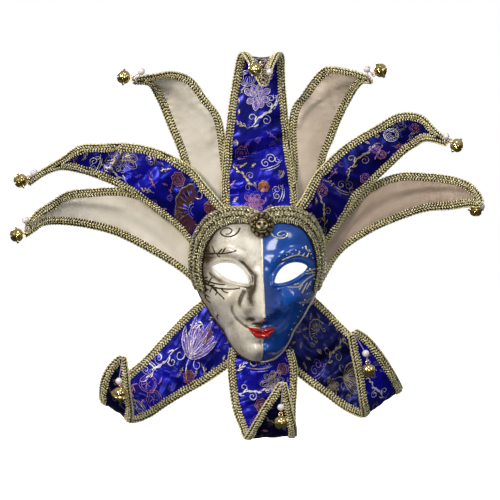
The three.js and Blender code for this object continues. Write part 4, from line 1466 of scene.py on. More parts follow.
@dataclass
class LionBoss:
    """Cast boss with a lion's head: locks of mane round a brow, two eyes and a broad muzzle."""

    width: float = 28.0
    height: float = 30.0
    seat_y: float = -9.2
    z: float = -1.0
    spokes: int = 144
    rings: int = 52
    rim_hollow: float = 0.6
    # Columns: number of locks, middle, spread, height, start
    locks: Table = ((6, 0.84, 0.12, 1.5, 0.0), (5.5, 0.64, 0.1, 1.2, 0.7))
    # Columns: x, z, height, spread in x, spread in z, on both sides
    forms: Table = (
        (3.9, 3.3, 1.3, 2.6, 1.0), (3.6, 0.9, -2.6, 1.7, 1.2), (0, 1.4, 1.5, 1.5, 4.0),
        (0, -1.9, 1.8, 2.2, 1.1), (2.5, -4.2, 1.7, 2.0, 1.6), (0, -3.6, -1.2, 0.5, 1.2),
        (0, -6.2, -2.4, 3.4, 0.8), (0, -8.2, 1.5, 2.4, 1.1), (5.4, -2.2, 0.8, 1.5, 2.2),
        (7.4, 7.6, 1.7, 1.9, 1.8), (7.4, 7.4, -1.4, 0.9, 0.9),
    )

    def relief(self, x: Array, z: Array, share: Array, angle: Array) -> Array:
        """Height of the casting over its seat.

        Args:
            x: Places to the side.
            z: Places up.
            share: Shares of the way to the rim.
            angle: Angles of the spokes.

        Returns:
            The height at each place.
        """
        height = 0.9 + 2.4 * (1 - share**2)
        for lobes, middle, spread, high, start in self.locks:
            lock = np.abs(np.cos(lobes * angle + start)) ** 0.5
            height += high * lock * np.exp(-(((share - middle) / spread) ** 2))
        inside = np.clip(1 - (x / 7.0) ** 2 - ((z + 1.2) / 8.6) ** 2, 0, 1)
        height += 2.0 * inside**0.45 + bump_height(x, z, self.forms)
        return height * np.clip((1 - share) / 0.05, 0, 1) ** 0.5 + 0.6

    def build(self, finishes: Finishes) -> bpy.types.Object:
        """Makes the casting with its flat back.

        Args:
            finishes: The materials.

        Returns:
            The piece.
        """
        angle, share = np.meshgrid(full_turn(self.spokes), np.linspace(0.004, 1, self.rings))
        scallop = 1 - 0.1 * (1 - np.abs(np.cos(6 * angle)) ** 0.5) * share**3
        x = np.sin(angle) * share * scallop * self.width / 2
        z = np.cos(angle) * share * scallop * self.height / 2
        high = self.relief(x, z, share, angle)
        front = np.stack([x, self.seat_y - high, z + self.z], axis=-1)
        face = np.clip(1 - (x / 7.6) ** 2 - ((z + 1.0) / 9.4) ** 2, 0, 1) ** 0.4
        hollow = np.clip((soften(high, 10) - high) * 1.5 + 0.55 - 0.5 * face, 0, 1.2)
        parts = MeshParts()
        parts.add(front, grid_faces(self.rings, self.spokes, wrap=True), hollow=hollow.ravel())
        seat = np.stack([x[-1], np.full(self.spokes, self.seat_y), z[-1] + self.z], axis=-1)
        worn = np.full(2 * self.spokes, self.rim_hollow)
        parts.add(np.stack([front[-1], seat]), grid_faces(2, self.spokes, wrap=True), hollow=worn)
        parts.close(front[0], front[0].mean(axis=0))
        parts.close(seat, seat.mean(axis=0), flip=True)
        boss = parts.to_object("lion_head_boss", [finishes.boss], 70)
        return settle(boss, "antique_brass", "lion_boss")


# Cloth points


def curve(start: Sequence[float], way: float, long: float, bend: float, count: int = 9) -> Array:
    """A flat line that starts at a place and bends evenly.

    Args:
        start: Its first place.
        way: Its first direction, in radians.
        long: Its length.
        bend: How far it turns in all, in radians.
        count: Number of points.

    Returns:
        The points.
    """
    turn = way + bend * np.linspace(0, 1, count - 1)
    steps = np.stack([np.cos(turn), np.sin(turn)], axis=-1) * long / (count - 1)
    return np.asarray(start, float) + np.concatenate([[[0.0, 0.0]], np.cumsum(steps, axis=0)])


def left_of(line: Array) -> Array:
    """Directions to the left of a flat line."""
    ahead = unit(np.gradient(line, axis=0))
    return np.stack([-ahead[:, 1], ahead[:, 0]], axis=-1)


def leaf(spine: Array, wide: float) -> Array:
    """Closed outline of a pointed leaf or petal along its spine.

    Args:
        spine: Its middle line.
        wide: Half of its width.

    Returns:
        The outline.
    """
    swell = (np.sin(np.linspace(0, math.pi, len(spine))) ** 0.65 * wide)[:, None]
    aside = left_of(spine) * swell
    return np.concatenate([spine + aside, (spine - aside)[::-1]])


def coil(middle: Sequence[float], size: float, start: float, turns: float) -> Array:
    """A flat tendril that winds inwards round its middle.

    Args:
        middle: Its middle.
        size: Its radius.
        start: Its first angle, in radians.
        turns: Number of turns, below zero to wind the other way.

    Returns:
        The points.
    """
    way = np.linspace(0, turns * TURN, int(18 * abs(turns)) + 6)
    grow = size * (1 - 0.8 * np.linspace(0, 1, len(way)))
    wound = np.stack([np.cos(way + start), np.sin(way + start)], axis=-1)
    return np.asarray(middle, float) + grow[:, None] * wound


def ring(size: float, wave: float = 0.0, waves: int = 0) -> Array:
    """A flat closed ring, plain or with a waved edge.

    Args:
        size: Its radius.
        wave: Height of the waves, as a share of the radius.
        waves: Number of waves.

    Returns:
        The points.
    """
    turn = np.linspace(0, TURN, 33)
    reach = size * (1 + wave * np.cos(waves * turn))
    return np.stack([np.cos(turn) * reach, np.sin(turn) * reach], axis=-1)


@dataclass
class Drawing:
    """A figure's passes of thread, each with its weight and whether it tapers, and its filled parts."""

    passes: list[tuple[Array, float, bool]] = field(default_factory=list)
    fills: list[Array] = field(default_factory=list)

    def outline(self, line: Array, weight: float = 0.8) -> None:
        """Adds an even pass."""
        self.passes.append((line, weight, False))

    def stroke(self, line: Array, weight: float = 1.0) -> None:
        """Adds a pass that swells and tapers like a brush stroke."""
        self.passes.append((line, weight, True))

    def petal(self, spine: Array, wide: float, vein: bool = True) -> None:
        """Adds a filled petal with its outline and its vein.

        Args:
            spine: Its middle line.
            wide: Half of its width.
            vein: Whether it has a vein.
        """
        edge = leaf(spine, wide)
        self.fills.append(edge)
        self.outline(edge, 0.75)
        if vein:
            self.stroke(spine[1:-1], 0.7)


class Motif(Enum):
    """Figures woven into the brocade, each drawn in a circle of about radius one."""

    LOTUS = "lotus"
    MUM = "mum"
    FAN = "fan"
    COIN = "coin"
    VINE = "vine"
    ROSE = "rose"
    TWIN = "twin"
    SPRIG = "sprig"
    CLOUD = "cloud"

    def draw(self) -> Drawing:
        """Draws the figure.

        Returns:
            The drawing.
        """
        drawing = Drawing()
        getattr(self, f"draw_{self.value}")(drawing)
        return drawing

    def draw_lotus(self, drawing: Drawing) -> None:
        """Two rings of pointed petals round a small eye."""
        for count, near, far, wide in ((8, 0.36, 1.05, 0.24), (6, 0.14, 0.6, 0.16)):
            for k in range(count):
                way = k / count * TURN + 0.14 * math.sin(5 * k) + far
                start = np.array([math.cos(way), math.sin(way)]) * near
                long = (far - near) * (1 + 0.16 * math.sin(3.7 * k))
                spine = curve(start, way - 0.2, long, 0.5 * math.sin(2.1 * k + 0.5), 11)
                drawing.petal(spine, wide, False)
                drawing.outline(leaf(spine[2:-2], wide * 0.5), 0.55)
        drawing.outline(ring(0.12))

    def draw_mum(self, drawing: Drawing) -> None:
        """Long curved petals that fan out from a stalk."""
        for k in range(9):
            way = math.radians(20 + 17.5 * k)
            long = 1.45 + 0.3 * math.sin(2.3 * k + 0.6)
            drawing.petal(curve((0.03 * (k - 4), -0.55), way, long, (4 - k) * 0.22, 12), 0.13)
        for side in (-1, 1):
            drawing.stroke(coil((side * 0.55, -0.6), 0.3, 1.57, side * 1.1), 0.9)
        drawing.stroke(curve((0, -0.55), -1.7, 0.8, 0.7), 1.2)

    def draw_fan(self, drawing: Drawing) -> None:
        """A scalloped fan of stripes over two scrolls."""
        way = np.linspace(math.radians(5), math.radians(175), 50)
        edge = 1 + 0.06 * np.abs(np.sin(way * 6.4))
        arc = np.stack([np.cos(way) * edge, np.sin(way) * edge], axis=-1)
        drawing.fills.append(np.concatenate([arc, [[-0.6, -0.2], [0.6, -0.2]]]))
        drawing.outline(arc, 1.1)
        for k in range(11):
            out = math.radians(14 + k * 15.2)
            middle = np.array([math.cos(out), math.sin(out)])
            drawing.stroke(np.linspace(middle * 0.34, middle * 0.93, 9), 1.3 if k % 2 else 0.8)
        drawing.outline(np.stack([np.cos(way), np.sin(way)], axis=-1) * 0.3)
        drawing.outline(np.stack([np.cos(way), np.sin(way)], axis=-1) * 0.18)
        drawing.stroke(coil((0.75, -0.2), 0.28, 1.2, 1.1))
        drawing.stroke(coil((-0.75, -0.2), 0.28, 1.9, -1.1))

    def draw_coin(self, drawing: Drawing) -> None:
        """A fret of square hooks in a double ring."""
        drawing.outline(ring(1.0), 0.9)
        drawing.outline(ring(0.82), 0.6)
        hook = np.array([(0.12, 0.62), (0.52, 0.42), (0.52, -0.42), (0.28, -0.42),
                         (0.28, 0.16), (0.12, 0.16)])
        for side in (-1, 1):
            drawing.outline(hook * (side, 1))
        drawing.outline(np.array([(0, -0.66), (0, 0.05)]))
        drawing.outline(np.array([(-0.4, -0.58), (0.4, -0.58)]))

    def draw_vine(self, drawing: Drawing) -> None:
        """A bent stem with brushed leaves and tendrils."""
        stem = smooth_line(np.array([(-1.1, -0.7), (-0.6, -0.5), (-0.1, 0.0), (0.4, 0.12), (1.1, 0.7)]), 30)
        drawing.stroke(stem, 1.2)
        for n, place in enumerate((4, 8, 12, 16, 20, 24, 27)):
            ahead = stem[place + 1] - stem[place]
            side = 1 if n % 2 else -1
            way = math.atan2(ahead[1], ahead[0]) + side * 0.75
            drawing.stroke(curve(stem[place], way, 0.5 - 0.03 * n, -side * 0.9), 2.0)
        drawing.stroke(coil((-0.62, 0.02), 0.32, -1.4, 1.2), 0.9)
        drawing.stroke(coil((0.3, -0.32), 0.34, 1.5, -1.3), 0.9)
        drawing.stroke(curve((1.1, 0.7), 0.9, 0.6, -1.6), 1.0)

    def draw_rose(self, drawing: Drawing) -> None:
        """A round bloom of wavy rings."""
        drawing.fills.append(ring(0.95, 0.09, 7))
        drawing.outline(ring(0.95, 0.09, 7), 0.8)
        drawing.outline(ring(0.62, 0.1, 6), 0.7)
        drawing.stroke(coil((0, 0), 0.36, 0.4, 1.5), 0.9)
        for k in range(7):
            way = k / 7 * TURN
            drawing.stroke(curve((0.66 * math.cos(way), 0.66 * math.sin(way)), way + 0.5, 0.28, 0.4, 5), 0.7)

    def draw_twin(self, drawing: Drawing) -> None:
        """Two ringed blooms that overlap, with leaves round them."""
        for x, y, size in ((-0.4, 0.25, 0.52), (0.4, -0.25, 0.52)):
            middle = np.array([x, y])
            drawing.outline(ring(size, 0.05, 9) + middle, 0.8)
            drawing.outline(ring(size * 0.76) + middle, 0.55)
            for k in range(5):
                way = k / 5 * TURN + x
                drawing.stroke(curve(middle + 0.05, way, size * 0.62, 0.7, 6), 1.0)
        for x, y, way in ((-0.9, -0.1, 3.6), (0.9, 0.1, 0.5), (0.1, 0.6, 1.2), (-0.1, -0.6, 4.3)):
            drawing.stroke(curve((x, y), way, 0.45, 0.9), 1.8)

    def draw_sprig(self, drawing: Drawing) -> None:
        """A short stem with five brushed leaves."""
        stem = curve((0, -1), 1.4, 1.9, 0.4, 14)
        drawing.stroke(stem, 0.9)
        for n, place in enumerate((3, 5, 7, 9, 11)):
            side = 1 if n % 2 else -1
            drawing.stroke(curve(stem[place], 1.6 + side * 0.9, 0.62 - 0.06 * n, -side * 0.8), 1.8)

    def draw_cloud(self, drawing: Drawing) -> None:
        """Curled lobes over a trailing tail."""
        drawing.stroke(coil((-0.45, 0.05), 0.42, 0.4, 1.4))
        drawing.stroke(coil((0.2, 0.26), 0.46, 2.6, -1.4))
        drawing.stroke(coil((0.7, -0.06), 0.28, 1.2, 1.1))
        drawing.stroke(curve((-1.1, -0.3), -0.3, 2.2, 0.7, 16), 1.3)
        drawing.stroke(curve((-0.8, -0.6), -0.2, 1.5, 0.5, 12), 0.9)


@dataclass(frozen=True)
class Woven:
    """One figure on a point: its place from base to tip and across, its size, turn and threads."""

    motif: Motif
    along: float
    across: float
    size: float
    turn: float
    line: Thread
    fill: Thread | None = None


@dataclass(frozen=True)
class Drop:
    """What hangs from a point: the pearl, the middle of the bell's flange and the way down the bell."""

    pearl: tuple[float, float, float]
    bell: tuple[float, float, float]
    way: tuple[float, float, float]

    def spin(self) -> Array:
        """Turn that brings a bell that hangs straight down to its own direction."""
        return np.array(Vector((0, 0, -1)).rotation_difference(Vector(self.way).normalized()).to_matrix())


@dataclass
class ClothPoint:
    """A stiffened cloth point with its braid, pearl and bell.

    The sections run from the base to the tip: x, y, z of both finished edges and the bulge. A fold is
    a straight line over the point: start along and across, end along and across, depth and half width.
    """

    name: str
    ware: Ware
    sections: Table
    folds: Table
    creases: Table
    drop: Drop
    seed: int
    woven: tuple[Woven, ...] = ()
    folded: bool = False
    cloth: float = 2.0
    overhang: float = 2.2
    braid: float = 7.8
    braid_share: float = 0.43
    braid_clear: float = 0.6
    fold_length: float = 190.0
    scatter: float = 13.0
    scatter_margin: float = 3.0
    rumple: float = 0.55
    wave_turn: float = 6.28
    cream_calm: float = 0.3
    crease_gain: float = 2.1
    pass_width: float = 0.62
    pass_step: float = 1.3

    def __post_init__(self) -> None:
        """Turns the sections into numbers and measures the middle line and the widths."""
        self.rows = np.array(self.sections, float)
        self.place_name = self.name.replace("point_", "")
        self.stations = np.linspace(0, 1, 161)
        self.gone = run_length(self.middle(self.stations, np.full_like(self.stations, 0.5), False))
        self.length = float(self.gone[-1])
        self.widths = self.width(self.stations)

    def run_at(self, along: Array | float) -> Array:
        """Millimetres from the base for shares from base to tip."""
        return np.interp(along, self.stations, self.gone)

    def share_at(self, run: Array | float) -> Array:
        """Shares from base to tip for millimetres from the base."""
        return np.interp(run, self.gone, self.stations)

    def width_at(self, along: Array | float) -> Array:
        """Width of the cloth, read from the measured widths."""
        return np.interp(along, self.stations, self.widths)

    def width(self, along: Array) -> Array:
        """Width of the cloth between its edges, measured anew."""
        left, right = (self.middle(along, np.full_like(along, t), False) for t in (0.0, 1.0))
        return np.linalg.norm(right - left, axis=-1)

    def fold_height(self, along: Array, across: Array, width: Array, table: Table) -> Array:
        """Height of pressed folds at places on the point.

        Args:
            along: Shares from base to tip.
            across: Shares between the finished edges.
            width: Distance between the finished edges.
            table: The folds.

        Returns:
            The height at each place.
        """
        height = np.zeros_like(along)
        for s0, t0, s1, t1, depth, spread in table:
            line_x, line_y = (t1 - t0) * width, (s1 - s0) * self.fold_length
            reach = np.hypot(line_x, line_y)
            px, py = (across - t0) * width, (along - s0) * self.fold_length
            aside = (px * line_y - py * line_x) / reach
            onward = (px * line_x + py * line_y) / reach**2
            fade = np.minimum(1, np.maximum(0, 1.25 - np.abs(2 * onward - 1)) * 4)
            height += depth * fade * np.exp(-((aside / spread) ** 2))
        return height

    def middle(self, along: Array, across: Array, fine: bool = True) -> Array:
        """Middle of the cloth's thickness.

        Args:
            along: Shares from base to tip.
            across: Shares between the two edges of the cloth.
            fine: Whether the small puckers and creases are there.

        Returns:
            The places.
        """
        places = (along, np.maximum(along - 0.01, 0), np.minimum(along + 0.01, 1))
        here, before, after = (run_through(self.rows, place * (len(self.rows) - 1)) for place in places)
        left = here[..., :3]
        chord = here[..., 3:6] - left
        width = np.linalg.norm(chord, axis=-1)
        grow = after[..., :3] + after[..., 3:6] - before[..., :3] - before[..., 3:6]
        front = unit(np.cross(chord, grow))
        inset = self.overhang / width
        t = inset + across * (1 - 2 * inset)
        bulge = here[..., 6] * (1 - (2 * t - 1) ** 2) + self.fold_height(along, t, width, self.folds)
        if fine:
            bulge = bulge + self.ripple(along, t, width)
        return left + chord * t[..., None] + front * bulge[..., None]

    def ripple(self, along: Array, t: Array, width: Array) -> Array:
        """Small puckers along the braid, soft waves and sharp creases of the pressed cloth.

        Args:
            along: Shares from base to tip.
            t: Shares between the finished edges.
            width: Distance between the finished edges.

        Returns:
            The height at each place.
        """
        rng = np.random.default_rng(self.seed)
        run, across = along * self.fold_length, (t - 0.5) * width
        edge = np.minimum(t, 1 - t) * width
        inside = np.clip((edge - 3) / 5, 0, 1) * np.clip((1 - along) / 0.12, 0, 1)
        height = self.fold_height(along, t, width, self.creases) * self.crease_gain
        rumple = self.rumple if self.woven else self.rumple * self.cream_calm
        for _ in range(6):
            wave, way = rng.uniform(18, 46), rng.uniform(-1.1, 1.1)
            start = rng.uniform(0, self.wave_turn)
            roll = np.sin((run * math.cos(way) + across * math.sin(way)) / wave * self.wave_turn + start)
            height += rumple * (0.6 - np.abs(roll) ** 0.7)
        wave = rng.uniform(8, 11)
        pucker = np.sin(run / wave * self.wave_turn + np.where(t < 0.5, 0, 2.1))
        return (height + 0.35 * pucker * np.exp(-(((edge - 10) / 5) ** 2))) * inside

    def frame(self, along: Array, across: Array) -> tuple[Array, Array, Array]:
        """Directions on the cloth: across to the right, along to the tip, and out of the front.

        Args:
            along: Shares from base to tip.
            across: Shares between the two edges of the cloth.

        Returns:
            The three directions.
        """
        left, right = np.maximum(across - 0.01, 0), np.minimum(across + 0.01, 1)
        low, high = np.maximum(along - 0.005, 0), np.minimum(along + 0.005, 1)
        side = unit(self.middle(along, right) - self.middle(along, left))
        grow = unit(self.middle(high, across) - self.middle(low, across))
        return side, grow, unit(np.cross(side, grow))

    def skin(self, along: Array, across: Array, lift: float | Array) -> Array:
        """Places at a height over the middle of the cloth, towards the front."""
        return self.middle(along, across) + self.frame(along, across)[2] * lift

    def build_cloth(self, finishes: Finishes) -> bpy.types.Object:
        """Makes the cloth as one closed sheet with two faces.

        Args:
            finishes: The materials.

        Returns:
            The sheet.
        """
        along, across = np.linspace(0, 1, 127), np.linspace(0, 1, 41)
        a, t = np.meshgrid(along, across, indexing="ij")
        side = (t - 0.5) * self.width(along)[:, None]
        skins = [self.skin(a, t, face * self.cloth / 2).reshape(-1, 3) for face in (1, -1)]
        faces = grid_faces(*a.shape)
        count = a.size
        index = np.arange(count).reshape(a.shape)
        loop = np.concatenate([index[0, :-1], index[:-1, -1], index[-1, :0:-1], index[:0:-1, 0]])
        after = np.roll(loop, -1)
        rim = np.stack([after, loop, loop + count, after + count], axis=-1)
        parts = MeshParts()
        parts.add(
            np.concatenate(skins),
            np.concatenate([faces, faces[:, ::-1] + count, rim]),
            np.repeat([0, 1, 0], [len(faces), len(faces), len(rim)]),
            along=np.tile(self.run_at(a).ravel(), 2),
            across=np.tile(side.ravel(), 2),
        )
        # Painted shade and light: inside a fold the back of the brocade takes the blue-black copy, and the
        # blue-black point's flap takes the lit royal blue.
        shaded_back = {Ware.BROCADE: Ware.BLACK_BROCADE, Ware.BLACK_BROCADE: Ware.BROCADE}
        back = shaded_back[self.ware] if self.folded else self.ware
        stuffs = [finishes.cloth[self.ware], finishes.cloth[back]]
        sheet = parts.to_object(f"cloth_{self.place_name}", stuffs, 60)
        return settle(sheet, self.ware.slot, self.name)

    def flat_size(self) -> tuple[float, float, float]:
        """Width and length of the cut in metres, and its flat area in square metres."""
        strips = (self.widths[1:] + self.widths[:-1]) / 2 * np.diff(self.gone)
        return float(self.widths.max()) * MM, self.length * MM, float(strips.sum()) * MM * MM

    def on_cloth(self, flat: Array, figure: Woven) -> tuple[Array, Array]:
        """Shares along and across for places round a figure's middle, in millimetres.

        Args:
            flat: The places.
            figure: The figure.

        Returns:
            The shares from base to tip, and the shares between the edges of the cloth.
        """
        turn = math.radians(figure.turn)
        flat = flat @ np.array([[math.cos(turn), math.sin(turn)], [-math.sin(turn), math.cos(turn)]])
        along = self.share_at(self.run_at(figure.along) + flat[..., 1])
        return along, 0.5 + figure.across * 0.5 + flat[..., 0] / self.width_at(along)

    def small_figures(self) -> list[Woven]:
        """Small figures scattered between the large ones.

        Returns:
            The figures.
        """
        kinds = (Motif.VINE, Motif.SPRIG, Motif.CLOUD, Motif.SPRIG)
        lines = (Thread.GOLD, Thread.LILAC, Thread.COPPER, Thread.GOLD, Thread.LILAC, Thread.ROSE)
        rng = np.random.default_rng(self.seed)
        large = [
            (self.run_at(w.along), w.across / 2 * float(self.width_at(w.along)), w.size * 0.85)
            for w in self.woven
        ]
        small = []
        for run in np.arange(8.0, self.length - 14, self.scatter):
            margin = self.braid + self.scatter_margin
            half = float(self.width_at(self.share_at(run))) / 2 - margin
            for aside in np.arange(-half, half, self.scatter):
                size = float(rng.uniform(3.4, 6.2))
                place = np.array([run, aside]) + rng.uniform(-4, 4, 2)
                clear = all(math.hypot(place[0] - r, place[1] - a) > reach + size for r, a, reach in large)
                turn, kind, line = rng.uniform(0, 360), kinds[rng.integers(4)], lines[rng.integers(6)]
                if clear and half > 4:
                    # Painted shade: small figures on the blue-black copy of the brocade take the dimmed gold
                    # thread.
                    line = Thread.BRONZE if self.ware is Ware.BLACK_BROCADE else line
                    share = float(np.clip(place[1] / (half + margin), -0.8, 0.8))
                    small.append(Woven(kind, float(self.share_at(place[0])), share, size, turn, line))
        return small

    def build_figures(self, finishes: Finishes) -> bpy.types.Object | None:
        """Makes the woven figures as low passes of bright thread on both faces of the cloth.

        Args:
            finishes: The materials.

        Returns:
            The piece, or nothing for plain satin.
        """
        if not self.woven:
            return None
        parts = MeshParts()
        figures = [*self.woven, *self.small_figures()]
        for face in (1.0, -1.0):
            for figure in figures:
                drawing = figure.motif.draw()
                for outline in drawing.fills if figure.fill is not None else ():
                    self.lay_fill(parts, outline * figure.size, figure, face)
                for line, weight, tapers in drawing.passes:
                    self.lay_line(parts, line * figure.size, figure, face, weight, tapers)
        piece = parts.to_object(f"figures_{self.place_name}", finishes.threads, 80)
        return settle(piece, self.ware.slot)

    def lay_line(
        self, parts: MeshParts, flat: Array, figure: Woven, face: float, weight: float, tapers: bool
    ) -> None:
        """Lays one pass of thread: a low ridge whose edges sink into the cloth.

        Args:
            parts: The piece.
            flat: The line round the figure's middle.
            figure: The figure.
            face: 1 for the front of the cloth, -1 for its back.
            weight: Width against the usual pass.
            tapers: Whether the pass swells in the middle and thins to its ends.
        """
        long = float(np.linalg.norm(np.diff(flat, axis=0), axis=1).sum())
        count = max(4, int(long / self.pass_step))
        line = rows_at(flat, np.arange(len(flat)), np.linspace(0, len(flat) - 1, count))
        wide = self.pass_width * weight * min(1.0, 0.55 + figure.size / 30)
        swell = 0.3 + 0.7 * np.sin(np.linspace(0, math.pi, count)) if tapers else np.ones(count)
        shifts = np.array([-1.0, 0.0, 1.0])[:, None, None] * (wide * swell)[None, :, None]
        along, across = self.on_cloth(line[None] + left_of(line)[None] * shifts, figure)
        edge = self.braid * self.braid_clear / self.width_at(along[1])
        inside = (across[1] > edge) & (across[1] < 1 - edge) & (along[1] > 0.015) & (along[1] < 0.97)
        lift = np.array([-0.08, 0.16, -0.08])[:, None, None]
        ridge = self.skin(along, np.clip(across, 0, 1), face * (self.cloth / 2 + lift))
        for run in np.split(np.arange(count), np.flatnonzero(np.diff(inside.astype(int))) + 1):
            if len(run) > 1 and inside[run[0]]:
                strip = ridge[:, run].transpose(1, 0, 2)
                parts.add(strip, grid_faces(len(run), 3, flip=face > 0), figure.line)

    def lay_fill(self, parts: MeshParts, outline: Array, figure: Woven, face: float) -> None:
        """Lays one filled part of a figure: a thin patch of thread that follows the cloth.

        Args:
            parts: The piece.
            outline: The patch's edge round the figure's middle.
            figure: The figure.
            face: 1 for the front of the cloth, -1 for its back.
        """
        middle = outline.mean(axis=0)
        small = float(np.abs(outline - middle).max()) < 8
        shares = np.array([0.02, 0.5, 0.97, 1.0] if small else [0.01, 0.25, 0.5, 0.75, 0.97, 1.0])
        along, across = self.on_cloth(middle + (outline[None] - middle) * shares[:, None, None], figure)
        edge = self.braid * self.braid_clear / self.width_at(along)
        lifts = np.where(shares < 0.99, 0.05, -0.06)[:, None, None]
        patch = self.skin(along, np.clip(across, edge, 1 - edge), face * (self.cloth / 2 + lifts))
        parts.add(patch, grid_faces(*patch.shape[:2], wrap=True, flip=face < 0), figure.fill)

    def edge_place(self, inward: float, height: float) -> Array:
        """Line of the braid up one edge, round the tip and down the other.

        Args:
            inward: Distance in from the edge of the cloth, below zero beyond it.
            height: Height over the middle of the cloth, below zero at the back.

        Returns:
            The places along the line.
        """
        along = np.linspace(0, 1, 151)
        wide = self.width(along)
        into, beyond = max(inward, 0), max(-inward, 0)
        share = np.minimum(into / wide, self.braid_share)
        sides = []
        for across, way in ((share, -1), (1 - share, 1)):
            side, grow, front = self.frame(along, across)
            outward = unit(np.cross(grow, front))
            outward = outward * np.sign((outward * side).sum(-1, keepdims=True)) * way
            sides.append(self.middle(along, across) + front * height + outward * beyond)
        tip_across = np.linspace(0, 1, 13)[1:-1]
        tip_turn = (tip_across * math.pi)[:, None]
        one = np.ones_like(tip_across)
        edge = self.middle(one, tip_across)
        side, _, front = self.frame(one, tip_across)
        grow = unit(edge - self.middle(one * 0.95, tip_across))
        grow = unit(grow - side * (grow * side).sum(-1, keepdims=True))
        out = grow * np.sin(tip_turn) - side * np.cos(tip_turn)
        held = min(into, self.braid_share * float(wide[-1]))
        tip = edge + front * height + out * (beyond - held)
        return np.concatenate([sides[0], tip, sides[1][::-1]])

    def build_edging(self, finishes: Finishes) -> bpy.types.Object:
        """Makes the braid: a dark band folded round the edge, chevrons on both faces and an edge rope.

        Args:
            finishes: The materials.

        Returns:
            The braid.
        """
        parts = MeshParts()
        near, far, top = (self.cloth / 2 + more for more in (0.1, 0.95, 1.35))
        front = (
            (self.braid, near), (self.braid - 0.6, far), (self.braid / 2, far + 0.15), (0.3, far),
            (-1.2, near * 0.7),
        )
        back = tuple((inward, -height) for inward, height in reversed(front))
        section = front + back + ((0.0, -near), (-0.5, 0.0), (0.0, near))
        band = np.stack([self.edge_place(d, h) for d, h in section], axis=1)
        parts.add(band, grid_faces(*band.shape[:2], wrap=True))
        for end, flip in ((band[0], True), (band[-1], False)):
            parts.close(end, (end[:4].mean(axis=0) + end[5:9].mean(axis=0)) / 2, flip=flip)
        for face in (1, -1):
            for row in (
                BraidRow(6.9, face * (top - 0.3), 3.4, 3.0, 66 * face, 1.6, 1.6),
                BraidRow(4.5, face * top, 3.5, 4.1, -46 * face, 1.8, 2.0),
                BraidRow(1.7, face * top, 3.5, 4.1, 46 * face, 1.8, 2.0, 0.5),
            ):
                row.lay(parts, self.edge_place, 1)
        lay_rope(parts, self.edge_place(-0.9, 0.0), 0.85, 0.8, 8.5, 1)
        edging = parts.to_object(f"braid_{self.place_name}", [finishes.braid_core, finishes.braid_gold], 60)
        return settle(edging, "gold_braid", f"edging_{self.place_name}")

    def build(self, finishes: Finishes, bell: Bell) -> None:
        """Makes the cloth, the figures, the braid, the pearl and the bell of the point.

        Args:
            finishes: The materials.
            bell: The bell that is hung.
        """
        sheet = self.build_cloth(finishes)
        figures = self.build_figures(finishes)
        edging = self.build_edging(finishes)
        wide, long, area = self.flat_size()
        LOG.info("%s: cut %.0f by %.0f mm, %.1f square cm", sheet.name, wide / MM, long / MM, area * 1e4)
        PearlString(self, bell.loop_height).build(finishes)
        bell.hang(self.place_name, self.drop, finishes)


# Pearls and bells


